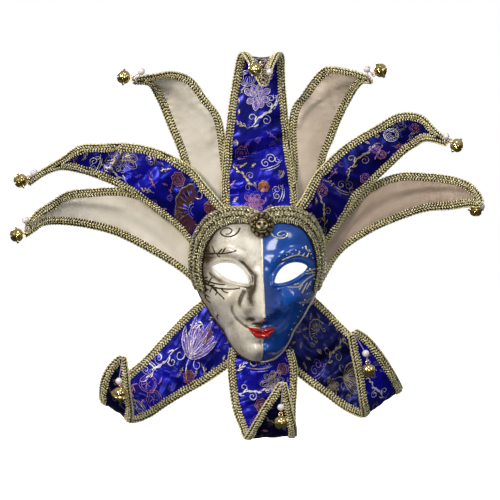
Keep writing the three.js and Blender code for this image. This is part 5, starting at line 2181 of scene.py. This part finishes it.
@dataclass
class Bell:
    """Jingle bell: a spun dome and a slotted cup crimped at a flange, hung by a wire loop."""

    loop_radius: float = 2.1
    loop_wire: float = 0.62
    loop_height: float = 9.2
    slot_width: float = 1.5
    slot_reach: float = 4.6
    slot_top: float = -3.4
    slot_foot: float = -12.0
    slot_points: int = 32
    sides: int = 56
    # Columns: radius, height over the flange
    outside: Table = (
        (0.05, 7.45), (1.3, 7.4), (2.7, 7.05), (4.2, 6.4), (5.6, 5.4), (6.7, 4.1), (7.3, 2.8), (7.5, 1.7),
        (7.6, 1.25), (8.3, 1.0), (9.2, 0.85), (9.6, 0.5), (9.6, 0.15), (9.35, -0.1), (9.6, -0.35),
        (9.5, -0.7), (8.6, -0.95), (7.5, -1.15), (7.3, -1.9), (7.1, -3.1), (6.5, -4.6), (5.5, -5.9),
        (4.0, -6.9), (2.2, -7.45), (0.05, -7.6),
    )
    inside: Table = (
        (0.05, -6.8), (2.1, -6.65), (3.7, -6.1), (5.0, -5.2), (5.9, -4.0), (6.4, -2.6), (6.6, -1.0),
        (6.7, 0.8), (6.4, 2.8), (5.4, 4.4), (3.8, 5.6), (2.0, 6.4), (0.05, 6.6),
    )

    def __post_init__(self) -> None:
        """Makes the form once, in its own frame."""
        self.form = self.make_form()

    def make_form(self) -> bpy.types.Mesh:
        """Spins the bell and cuts its slot.

        Returns:
            The mesh of the bell.
        """
        body = MeshParts()
        body.lathe(np.array(self.outside + self.inside), self.sides)
        for (radius, height), flip in ((self.outside[0], True), (self.inside[-1], False)):
            middle = np.array([0.0, 0.0, height])
            body.close(round_ring(self.sides) * radius + middle, middle, flip=flip)
        whole = body.to_object("bell_form", [])
        self.weld(whole)
        cutter = self.slot_cutter()
        cut = whole.modifiers.new("slot", "BOOLEAN")
        cut.operation, cut.object, cut.solver = "DIFFERENCE", cutter, "EXACT"
        mesh = bpy.data.meshes.new_from_object(whole.evaluated_get(bpy.context.evaluated_depsgraph_get()))
        for spare in (whole, cutter):
            bpy.data.objects.remove(spare)
        return mesh

    @staticmethod
    def weld(thing: bpy.types.Object) -> None:
        """Joins the corners that lie on each other.

        Args:
            thing: The object.
        """
        work = bmesh.new()
        work.from_mesh(thing.data)
        bmesh.ops.remove_doubles(work, verts=work.verts, dist=1e-6)
        bmesh.ops.recalc_face_normals(work, faces=work.faces)
        work.to_mesh(thing.data)
        work.free()

    def slot_cutter(self) -> bpy.types.Object:
        """A bar with wide round ends that cuts the slot.

        Returns:
            The cutter.
        """
        turn = full_turn(self.slot_points)
        wide = np.where(np.abs(np.sin(turn)) > 0.7, 1.5, 1.0)
        x = np.cos(turn) * (self.slot_width / 2) * wide
        y = np.sign(np.sin(turn)) * self.slot_reach + np.sin(turn) * self.slot_width
        edge = np.stack([x, y, np.zeros_like(x)], axis=-1)
        feet, tops = (np.array([0.0, 0.0, z]) for z in (self.slot_foot, self.slot_top))
        parts = MeshParts()
        parts.add(np.stack([edge + feet, edge + tops]), grid_faces(2, self.slot_points, wrap=True))
        parts.close(edge + feet, feet, flip=True)
        parts.close(edge + tops, tops)
        cutter = parts.to_object("slot_form", [])
        self.weld(cutter)
        return cutter

    def hang(self, place: str, drop: Drop, finishes: Finishes) -> bpy.types.Object:
        """Hangs one bell.

        Args:
            place: Name of the point.
            drop: Where and how the bell hangs.
            finishes: The materials.

        Returns:
            The bell.
        """
        points = np.zeros(len(self.form.vertices) * 3, np.float32)
        self.form.vertices.foreach_get("co", points)
        self.form.calc_loop_triangles()
        corners = np.zeros(len(self.form.loop_triangles) * 3, np.int32)
        self.form.loop_triangles.foreach_get("vertices", corners)
        spin, middle = drop.spin(), np.array(drop.bell, float)
        parts = MeshParts()
        parts.add(points.reshape(-1, 3) / MM @ spin.T + middle, corners.reshape(-1, 3))
        loop = round_ring(36)[:, [0, 2, 1]] * self.loop_radius + (0, 0, self.loop_height)
        parts.tube(loop @ spin.T + middle, self.loop_wire, 12, ring=True)
        bell = parts.to_object(f"jingle_bell_{place}", [finishes.bell], 32)
        return settle(bell, "bell_brass", f"bell_{place}")


@dataclass
class PearlString:
    """A pearl on a twisted lilac and white thread, sewn to the tip and through the loop of the bell."""

    point: ClothPoint
    loop_height: float
    radius: float = 4.0
    dimple: float = 0.1
    dimple_spread: float = 0.3
    strand: float = 0.3
    pitch: float = 2.6
    knot_strand: float = 0.32
    seat: float = 2.3
    thread_in: tuple[float, float] = (2.2, 1.05)
    thread_out: tuple[float, float] = (-1.1, 0.15)

    def path(self) -> Array:
        """Places of the thread from the braid at the tip through the pearl to the loop.

        Returns:
            The four places.
        """
        one, half = np.ones(1), np.full(1, 0.5)
        tip = self.point.middle(one, half)[0]
        front = self.point.frame(one, half)[2][0]
        pearl = np.array(self.point.drop.pearl, float)
        face = 1.0 if front @ (pearl - tip) > 0 else -1.0
        start = tip + front * face * (self.point.cloth / 2 + self.seat)
        spin = self.point.drop.spin()
        through, up = spin[:, 1], spin[:, 2]
        centre = np.array(self.point.drop.bell, float) + up * self.loop_height
        side = 1.0 if through @ (pearl - centre) > 0 else -1.0
        ends = [centre + through * side * a + up * h for a, h in (self.thread_in, self.thread_out)]
        return np.array([start, pearl, *ends])

    def build(self, finishes: Finishes) -> bpy.types.Object:
        """Makes the pearl, its thread and its knots as one piece.

        Args:
            finishes: The materials.

        Returns:
            The piece.
        """
        parts = MeshParts()
        places = self.path()
        runs = [np.linspace(a, b, 12)[:-1] for a, b in zip(places[:-1], places[1:])]
        lay_rope(parts, np.concatenate([*runs, places[-1:]]), self.strand * 0.9, self.strand, self.pitch, 1)
        polar = np.linspace(0.02, math.pi - 0.02, 25)
        dents = [np.exp(-((away / self.dimple_spread) ** 2)) for away in (polar, math.pi - polar)]
        reach = self.radius * (1 - self.dimple * sum(dents))
        form = MeshParts()
        form.lathe(np.stack([np.sin(polar) * reach, np.cos(polar) * reach], axis=-1), 36)
        way = Vector(places[2] - places[0]).normalized()
        spin = np.array(Vector((0, 0, 1)).rotation_difference(way).to_matrix())
        parts.add(form.points[0] @ spin.T + places[1], form.faces[0])
        wound = round_ring(18)
        for place, size in (
            (places[0], 1.15), (places[1] + spin[:, 2] * self.radius, 0.8), (places[3], 0.75),
        ):
            for tilt, finish in ((0.0, 1), (1.1, 1), (2.2, 2)):
                wind = wound[:, [0, 1, 1]] * (1, math.cos(tilt), math.sin(tilt))
                parts.tube(place + wind * size * 0.6, self.knot_strand, 6, finish, ring=True)
        threads = [finishes.pearl, finishes.lilac, finishes.white]
        string = parts.to_object(f"pearl_string_{self.point.place_name}", threads, 60)
        return settle(string, "pearl", f"pearl_{self.point.place_name}")


# The points of this mask


def brow_points() -> list[ClothPoint]:
    """The seven points of the brow, with the tables of their solids.

    Returns:
        The points, from the top down.
    """
    return [
        ClothPoint(
            name="point_top", ware=Ware.BROCADE, seed=11, folded=True,
            sections=(
                (-42, 27.8, 9, 45, 29.5, 9, 17), (-44, 32, 40, 45, 33.5, 40, 12.5),
                (-41, 34, 86, 39, 34, 86, 8), (-36, 34, 133, 34, 34, 133, 6),
                (-30, 32, 172, 31, 32, 172, 5), (-26, 20, 195, 29, 20, 195, 6),
                (-22, 2, 197, 23, 2, 197, 8), (-16, -12, 185, 16, -12, 185, 6),
                (-10, -22, 170, 10, -22, 170, 2), (-4, -28, 158, 6, -28, 158, 0),
            ),
            folds=((0.16, 0, 0.24, 1, -3, 9), (0.3, 0.1, 0.36, 1, 2.5, 8)),
            creases=(
                (0.235, 0.1, 0.275, 1, 2.4, 3.2), (0.2, 0.2, 0.245, 1, -2.4, 3.0),
                (0.12, 0, 0.15, 0.7, 1.4, 3.5), (0.09, 0.1, 0.115, 0.95, -1.4, 3.0),
            ),
            drop=Drop((6, -38, 172), (-10, -44, 174), (-0.62, 0.4, -0.67)),
            woven=(
                Woven(Motif.COIN, 0.44, -0.48, 9.5, 0, Thread.SILVER),
                Woven(Motif.LOTUS, 0.375, -0.05, 15, 20, Thread.SILVER, Thread.LILAC),
                Woven(Motif.VINE, 0.315, 0.1, 17, 10, Thread.SILVER),
                Woven(Motif.CLOUD, 0.36, 0.5, 10, 60, Thread.SILVER),
                Woven(Motif.ROSE, 0.215, -0.5, 8, 0, Thread.COPPER),
                Woven(Motif.SPRIG, 0.45, 0.45, 9, -30, Thread.ROSE),
                Woven(Motif.CLOUD, 0.19, 0.35, 13, 20, Thread.SILVER),
                Woven(Motif.ROSE, 0.12, 0.1, 7, 0, Thread.COPPER, Thread.COPPER),
                Woven(Motif.VINE, 0.14, -0.35, 14, 100, Thread.GOLD),
                Woven(Motif.CLOUD, 0.1, 0.5, 11, 70, Thread.SILVER),
                Woven(Motif.LOTUS, 0.05, -0.2, 12, 0, Thread.ROSE),
                Woven(Motif.SPRIG, 0.29, -0.55, 9, 60, Thread.GOLD),
                Woven(Motif.LOTUS, 0.6, 0.1, 12, 10, Thread.GOLD, Thread.MAROON),
                Woven(Motif.CLOUD, 0.73, -0.1, 10, 0, Thread.SILVER),
            ),
        ),
        ClothPoint(
            name="point_upper_left", ware=Ware.COOL_CREAM, seed=12,
            sections=(
                (-72, 50, 22, -28, 42, 28, 2), (-88, 46, 69, -34, 42, 69, 3),
                (-97, 43, 94, -38, 39.4, 101, 4), (-107, 41, 117, -44, 38, 126, 5),
                (-115, 37, 137, -59, 35, 146, 5), (-122, 31, 150, -77, 28, 169, 5),
                (-128, 20, 159, -100, 12, 176, 3), (-134, 6, 160, -122, -2, 172, 1),
                (-147, -6, 159, -143, -10, 168, 0),
            ),
            folds=((0.35, 0.9, 0.75, 0.35, 2.5, 8),),
            creases=((0.5, 0.15, 0.72, 0.6, -0.8, 4), (0.25, 0.7, 0.5, 0.85, 0.8, 4)),
            drop=Drop((-138, -19, 173), (-158, -13, 167), (-0.98, 0.1, 0.1)),
        ),
        ClothPoint(
            name="point_upper_right", ware=Ware.ROSE_CREAM_IN_SHADE, seed=13,
            sections=(
                (35, 44, 22, 75, 53, 22, 2), (37, 44, 69, 80, 47, 75, 3), (35, 41.8, 110, 89, 43, 99, 4),
                (39, 40, 136, 97, 41, 120, 5), (51, 38, 153, 105, 39, 137, 5),
                (63, 32, 171, 111, 33, 149, 4), (77, 20, 183, 115, 23, 157, 3),
                (101, 3, 179, 120, 8, 163, 1), (123, -10, 171, 128, -9, 161, 0),
            ),
            folds=((0.3, 0.1, 0.8, 0.6, 2.5, 8),),
            creases=((0.45, 0.8, 0.7, 0.3, -0.8, 4), (0.3, 0.2, 0.5, 0.35, 0.8, 4)),
            drop=Drop((120, -22, 177), (136, -18, 176), (0.87, 0.05, 0.48)),
        ),
        ClothPoint(
            name="point_mid_left", ware=Ware.BROCADE, seed=14,
            sections=(
                (-68, 51, -37, -35, 14.6, 14, 1), (-91, 54, -9, -61, 27, 46, 3),
                (-109, 52, 6, -80, 32, 68, 5), (-138, 48, 28, -115, 35, 87, 5),
                (-167, 43, 44, -150, 35, 94, 5), (-194, 35, 55, -179, 30, 93, 4),
                (-214, 24, 60, -208, 20, 91, 3), (-231, 4, 61, -229, 2, 76, 1),
                (-248, -16, 54, -247, -16, 64, 0), (-264, -32, 42, -265, -32, 52, 0),
            ),
            folds=((0.44, 0, 0.5, 1, -3, 9), (0.28, 0, 0.34, 1, 2, 8)),
            creases=(
                (0.51, 0.05, 0.465, 0.95, 1.8, 2.6), (0.54, 0.05, 0.49, 0.95, -1.6, 2.4),
                (0.34, 0.08, 0.25, 0.95, 1.8, 5), (0.385, 0.1, 0.3, 0.95, -1.5, 3),
                (0.6, 0.2, 0.68, 0.9, 1.2, 3),
            ),
            drop=Drop((-259, -43, 57), (-274, -38, 48), (-0.91, 0.05, -0.4)),
            woven=(
                Woven(Motif.FAN, 0.1, 0.0, 26, 30, Thread.GOLD, Thread.MAROON),
                Woven(Motif.ROSE, 0.24, 0.45, 8.5, 0, Thread.ROSE, Thread.MAROON),
                Woven(Motif.ROSE, 0.06, 0.55, 7, 0, Thread.COPPER, Thread.MAROON),
                Woven(Motif.LOTUS, 0.46, 0.3, 19, 10, Thread.GOLD),
                Woven(Motif.VINE, 0.46, -0.5, 14, 40, Thread.SILVER),
                Woven(Motif.SPRIG, 0.32, -0.55, 9, 20, Thread.GOLD),
                Woven(Motif.CLOUD, 0.57, -0.2, 11, 0, Thread.SILVER),
                Woven(Motif.SPRIG, 0.63, 0.4, 9, 70, Thread.GOLD),
                Woven(Motif.VINE, 0.7, 0.0, 9, 0, Thread.COPPER),
                Woven(Motif.ROSE, 0.16, -0.6, 6, 0, Thread.GOLD, Thread.MAROON),
                Woven(Motif.CLOUD, 0.35, 0.6, 8, 30, Thread.GOLD),
            ),
        ),
        ClothPoint(
            name="point_mid_right", ware=Ware.BROCADE_IN_SHADE, seed=15,
            sections=(
                (36, 14.8, 14, 76, 53, -32, 1), (49, 25, 31, 93, 55, -9, 2), (71, 32, 65, 114, 51, 25, 4),
                (101, 36, 94, 143, 45, 54, 5), (136, 36, 115, 171, 40, 81, 4),
                (163, 28, 130, 185, 31, 91, 3), (187, 12, 128, 192, 15.5, 96, 2),
                (203, -6, 110, 199, -5, 94, 1), (214, -20, 98, 211, -20, 89, 0),
            ),
            folds=((0.22, 0, 0.3, 1, -3, 9), (0.42, 0, 0.46, 1, 2, 9)),
            creases=(
                (0.26, 0.05, 0.34, 0.95, 1.5, 3), (0.2, 0.1, 0.24, 0.9, 1.2, 3),
                (0.5, 0.1, 0.56, 0.9, -1.2, 3), (0.1, 0.05, 0.16, 0.95, 1.2, 3),
                (0.14, 0.1, 0.2, 0.9, 2.0, 7),
            ),
            drop=Drop((210, -31, 100), (223, -26, 90), (0.82, 0.05, -0.57)),
            woven=(
                Woven(Motif.VINE, 0.38, -0.25, 16, 60, Thread.GOLD),
                Woven(Motif.COIN, 0.53, -0.2, 8, 0, Thread.SILVER),
                Woven(Motif.TWIN, 0.44, 0.1, 10, 30, Thread.ROSE),
                Woven(Motif.CLOUD, 0.27, 0.3, 13, 20, Thread.GOLD),
                Woven(Motif.SPRIG, 0.52, 0.5, 9, -40, Thread.COPPER),
                Woven(Motif.VINE, 0.14, 0.05, 14, 110, Thread.GOLD),
                Woven(Motif.ROSE, 0.2, -0.5, 7, 0, Thread.COPPER),
                Woven(Motif.ROSE, 0.34, 0.6, 6, 0, Thread.ROSE),
                Woven(Motif.CLOUD, 0.6, -0.4, 9, 80, Thread.BRONZE),
                Woven(Motif.SPRIG, 0.63, 0.4, 9, 20, Thread.GOLD),
                Woven(Motif.LOTUS, 0.06, -0.2, 10, 0, Thread.SILVER, Thread.ROSE),
                Woven(Motif.CLOUD, 0.07, 0.5, 10, 0, Thread.GOLD),
                Woven(Motif.ROSE, 0.7, 0.0, 6, 0, Thread.COPPER),
            ),
        ),
        ClothPoint(
            name="point_lower_left", ware=Ware.COOL_CREAM, seed=16,
            sections=(
                (-71, 58, -72, -63, 55.5, -14, 1), (-91, 60, -54, -95, 59.9, 9, 2),
                (-126, 60, -33, -126, 59, 33, 4), (-164, 57, -14, -159, 56, 43, 5),
                (-197, 49, -5, -193, 47, 42, 5), (-227, 35, -1, -222, 32, 38, 4),
                (-248, 16, -2, -243, 12, 24, 2), (-259, 0, -9, -258, -2, 14, 1),
                (-269, -8, -16, -268, -8, 0, 0),
            ),
            folds=((0.2, 0.3, 0.8, 0.6, -2.5, 9),),
            creases=((0.4, 0.6, 0.8, 0.75, 0.8, 4),),
            drop=Drop((-269, -20, 4), (-279, -14, -13), (-0.98, 0.1, -0.15)),
        ),
        ClothPoint(
            name="point_lower_right", ware=Ware.CREAM_IN_DEEP_SHADE, seed=17,
            sections=(
                (69, 58.8, -14, 75, 62, -73, 1), (103, 62.2, 12, 99, 64.1, -35, 2),
                (135, 60, 47, 133, 61.5, -11, 4), (168, 57, 61, 166, 58, 4, 5),
                (202, 50, 61, 199, 51, 15, 5), (229, 38, 57, 225, 38, 17, 4),
                (246, 25, 50, 238, 25, 19, 2), (256, 12, 39, 245, 14, 20, 1), (260, 3, 28, 251, 5, 19, 0),
            ),
            folds=((0.2, 0.6, 0.8, 0.4, -2.5, 9),),
            creases=((0.4, 0.4, 0.8, 0.25, 0.8, 4),),
            drop=Drop((259, 11, 21), (254, 22, 17), (0, 0, -1)),
        ),
    ]


def collar_points() -> list[ClothPoint]:
    """The three points of the collar, whose tips fold forward and up.

    Returns:
        The points, from left to right.
    """
    return [
        ClothPoint(
            name="collar_left", ware=Ware.BROCADE, seed=18, folded=True,
            sections=(
                (-20, 38, -157, -46, 49.1, -74, 2), (-55, 40, -182, -80, 49.3, -100, 4),
                (-80, 37, -196, -109, 46, -129, 5), (-106, 32, -211, -136, 39, -157, 4),
                (-127, 22, -224, -164, 24, -179, 2), (-146, 6, -228, -183, 6, -201, 0),
                (-147, -14, -215, -186, -14, -188, 3), (-150, -26, -193, -183, -26, -172, 5),
                (-152, -33, -172, -175, -33, -158, 3), (-155, -38, -152, -165, -38, -149, 0),
            ),
            folds=((0.12, 0.1, 0.3, 0.9, -2.5, 9),),
            creases=((0.2, 0.1, 0.33, 0.9, 1.3, 3), (0.38, 0.2, 0.45, 0.9, 1.0, 3)),
            drop=Drop((-164, -48, -177), (-163, -46, -191), (-0.1, 0.5, -0.86)),
            woven=(
                Woven(Motif.MUM, 0.13, 0.1, 26, 215, Thread.SILVER, Thread.LILAC),
                Woven(Motif.VINE, 0.27, 0.35, 19, 60, Thread.SILVER),
                Woven(Motif.TWIN, 0.37, -0.2, 20, 20, Thread.ROSE),
                Woven(Motif.ROSE, 0.2, -0.6, 8, 0, Thread.COPPER, Thread.MAROON),
                Woven(Motif.CLOUD, 0.33, 0.6, 10, 20, Thread.SILVER),
                Woven(Motif.SPRIG, 0.43, 0.3, 11, 40, Thread.ROSE),
                Woven(Motif.SPRIG, 0.1, 0.5, 12, -30, Thread.SILVER),
                Woven(Motif.CLOUD, 0.46, -0.4, 11, 0, Thread.GOLD),
                Woven(Motif.ROSE, 0.08, 0.1, 8, 0, Thread.ROSE, Thread.MAROON),
                Woven(Motif.VINE, 0.68, 0.0, 12, 0, Thread.BRONZE),
            ),
        ),
        ClothPoint(
            name="collar_centre", ware=Ware.BROCADE, seed=19, folded=True,
            sections=(
                (40, 28.7, -146, -35, 28.7, -144, 9), (45, 29.5, -165, -37, 29.5, -163, 9),
                (45, 27, -188, -35, 27, -191, 7), (43, 22, -211, -31, 23, -216, 5),
                (42, 11, -232, -24, 13, -236, 2), (41, -6, -243, -21, -4, -245, 0),
                (39, -24, -232, -15, -22, -233, 3), (34, -34, -213, -4, -33, -212, 4),
                (30, -40, -196, 7, -40, -194, 2), (26, -44, -181, 15, -44, -181, 0),
            ),
            folds=((0.2, 0.1, 0.26, 0.9, -2, 9),),
            creases=((0.24, 0.1, 0.3, 0.9, 1.2, 3), (0.36, 0.2, 0.4, 0.9, -1.0, 3)),
            drop=Drop((18, -54, -207), (18, -54, -224), (0, 0, -1)),
            woven=(
                Woven(Motif.CLOUD, 0.1, 0.1, 14, 180, Thread.GOLD),
                Woven(Motif.LOTUS, 0.2, -0.3, 14, 0, Thread.GOLD),
                Woven(Motif.VINE, 0.24, 0.4, 15, 150, Thread.SILVER),
                Woven(Motif.ROSE, 0.32, 0.1, 8, 0, Thread.ROSE, Thread.MAROON),
                Woven(Motif.SPRIG, 0.36, -0.45, 11, 160, Thread.GOLD),
                Woven(Motif.CLOUD, 0.41, 0.35, 11, 200, Thread.COPPER),
                Woven(Motif.ROSE, 0.13, -0.6, 7, 0, Thread.ROSE, Thread.MAROON),
                Woven(Motif.SPRIG, 0.12, 0.65, 10, 130, Thread.SILVER),
                Woven(Motif.VINE, 0.7, 0.0, 11, 0, Thread.BRONZE),
                Woven(Motif.LOTUS, 0.47, -0.1, 10, 0, Thread.GOLD, Thread.MAROON),
            ),
        ),
        ClothPoint(
            name="collar_right", ware=Ware.BLACK_BROCADE, seed=20, folded=True,
            sections=(
                (51, 50.5, -70, 26, 38, -162, 2), (82, 50.6, -98, 58, 40, -187, 4),
                (103, 46.5, -120, 78, 37, -201, 5), (126, 39, -140, 95, 32, -214, 4),
                (150, 26, -165, 107, 21, -221, 2), (165, 7, -189, 117, 7, -223, 0),
                (156, -13, -174, 113, -13, -208, 3), (140, -26, -150, 106, -26, -173, 5),
                (123, -33, -130, 100, -33, -148, 3), (108, -38, -120, 96, -38, -127, 0),
            ),
            folds=((0.1, 0.9, 0.3, 0.2, -2.5, 9),),
            creases=((0.2, 0.85, 0.34, 0.2, 1.3, 3), (0.12, 0.6, 0.2, 0.2, 1.0, 3)),
            drop=Drop((115, -48, -147), (118, -48, -166), (0.05, 0, -1)),
            woven=(
                Woven(Motif.VINE, 0.2, -0.2, 17, 130, Thread.BRONZE),
                Woven(Motif.MUM, 0.33, 0.1, 18, 30, Thread.BRONZE),
                Woven(Motif.CLOUD, 0.14, 0.5, 13, 150, Thread.LILAC),
                Woven(Motif.FAN, 0.1, -0.3, 13, 160, Thread.BRONZE),
                Woven(Motif.SPRIG, 0.4, -0.5, 11, 120, Thread.BRONZE),
                Woven(Motif.CLOUD, 0.45, 0.3, 11, 170, Thread.BRONZE),
                Woven(Motif.LOTUS, 0.25, 0.65, 9, 0, Thread.BRONZE),
                Woven(Motif.VINE, 0.66, 0.0, 14, 40, Thread.SILVER),
                Woven(Motif.SPRIG, 0.78, 0.1, 8, 20, Thread.SILVER),
            ),
        ),
    ]


# The studio


@dataclass
class Studio:
    """Camera at the photograph's angle, a pale floor, white air and soft lamps, in metres."""

    azimuth: float = -4.5
    distance: float = 2.5
    aim_right: float = -0.01265
    aim_up: float = -0.0299
    focal: float = 156.5
    sensor: float = 36.0
    far: float = 50.0
    lamp_aim: float = -0.02
    floor_z: float = -0.42
    floor_reach: float = 20.0
    floor_points: int = 64
    # Columns: name, place, size, power, colour
    lamps: tuple = (
        ("key_lamp", (-1.15, -1.4, 0.65), 0.45, 25, "#fff8ee"),
        ("fill_lamp", (1.5, -1.3, 0.7), 0.5, 4, "#eef3ff"),
        ("top_lamp", (0.1, -0.8, 1.3), 0.4, 4, "#ffffff"),
        ("front_lamp", (0.2, -2.2, 0.22), 0.6, 9, "#ffffff"),
        ("low_lamp", (-0.8, -1.8, -0.7), 0.4, 17, "#ffffff"),
        ("back_lamp", (-0.7, 2.0, 0.9), 0.8, 26, "#ffffff"),
        ("low_back_lamp", (1.2, 1.9, 0.1), 0.8, 10, "#ffffff"),
    )

    @staticmethod
    def put_up(name: str, data: bpy.types.ID, place: Vector, aim: Vector) -> bpy.types.Object:
        """Puts up a camera or a lamp.

        Args:
            name: Its name.
            data: The camera or the lamp.
            place: Where it stands.
            aim: The direction that it looks in.

        Returns:
            The object.
        """
        thing = bpy.data.objects.new(name, data)
        thing.location = place
        thing.rotation_mode = "QUATERNION"
        thing.rotation_quaternion = aim.to_track_quat("-Z", "Y")
        bpy.context.scene.collection.objects.link(thing)
        return thing

    def camera(self) -> None:
        """Puts up the camera."""
        turn = math.radians(self.azimuth)
        back = Vector((math.sin(turn), -math.cos(turn), 0))
        right = Vector((math.cos(turn), math.sin(turn), 0))
        data = bpy.data.cameras.new("camera")
        data.lens, data.sensor_width, data.clip_end = self.focal, self.sensor, self.far
        place = right * self.aim_right + Vector((0, 0, self.aim_up)) + back * self.distance
        bpy.context.scene.camera = self.put_up("camera", data, place, -back)

    def light(self) -> None:
        """Hangs the soft round lamps, which face the mask."""
        for name, place, size, power, colour in self.lamps:
            data = bpy.data.lights.new(name, "AREA")
            data.shape, data.size, data.energy = "DISK", size, power
            data.color = linear(colour)[:3]
            self.put_up(name, data, Vector(place), Vector((0, 0, self.lamp_aim)) - Vector(place))

    def air(self) -> None:
        """Makes the air: white to the camera, and a soft light from above."""
        air = Surface(bpy.data.worlds.new("studio_air"))
        height = air.add("SeparateXYZ", air.add("TexCoord", out="Generated"), out="Z")
        light = air.add("MapRange", height, -0.3, 0.7, 0.05, 0.36)
        seen = air.add("LightPath", out="Is Camera Ray")
        level = air.add("Mix", seen, light, 1.0, data_type="FLOAT")
        bpy.context.scene.world = air.dress({"Strength": level, "Color": "#ffffff"})

    def floor(self) -> None:
        """Lays the sheet of white paper, which lights itself."""
        paper = Surface.named("white_studio_paper").dress({
            "Base Color": (0.95, 0.95, 0.95, 1.0),
            "Roughness": 0.9,
            "Emission Color": "#ffffff",
            "Emission Strength": 1.1,
        })
        mesh = bpy.data.meshes.new("studio_paper")
        edge = round_ring(self.floor_points) * self.floor_reach + (0, 0, self.floor_z)
        mesh.from_pydata(edge.tolist(), [], [tuple(range(self.floor_points))])
        mesh.materials.append(paper)
        mesh.shade_smooth()
        sheet = bpy.data.objects.new("studio_paper", mesh)
        bpy.context.scene.collection.objects.link(sheet)
        sheet.visible_diffuse = False
        sheet.visible_glossy = False

    def build(self) -> None:
        """Makes the camera, the air, the floor and the lamps."""
        bpy.context.scene.view_settings.view_transform = "Standard"
        self.camera()
        self.air()
        self.floor()
        self.light()


def main() -> None:
    """Builds the mask piece by piece."""
    logging.basicConfig(level=logging.INFO, format="%(message)s", stream=sys.stdout)
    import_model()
    Studio().build()
    finishes = Finishes()
    shape = FaceShape()
    FaceShell(shape).build(finishes)
    BrowBraid(shape).build(finishes)
    LionBoss().build(finishes)
    bell = Bell()
    for point in brow_points() + collar_points():
        point.build(finishes, bell)


if __name__ == "__main__":
    main()
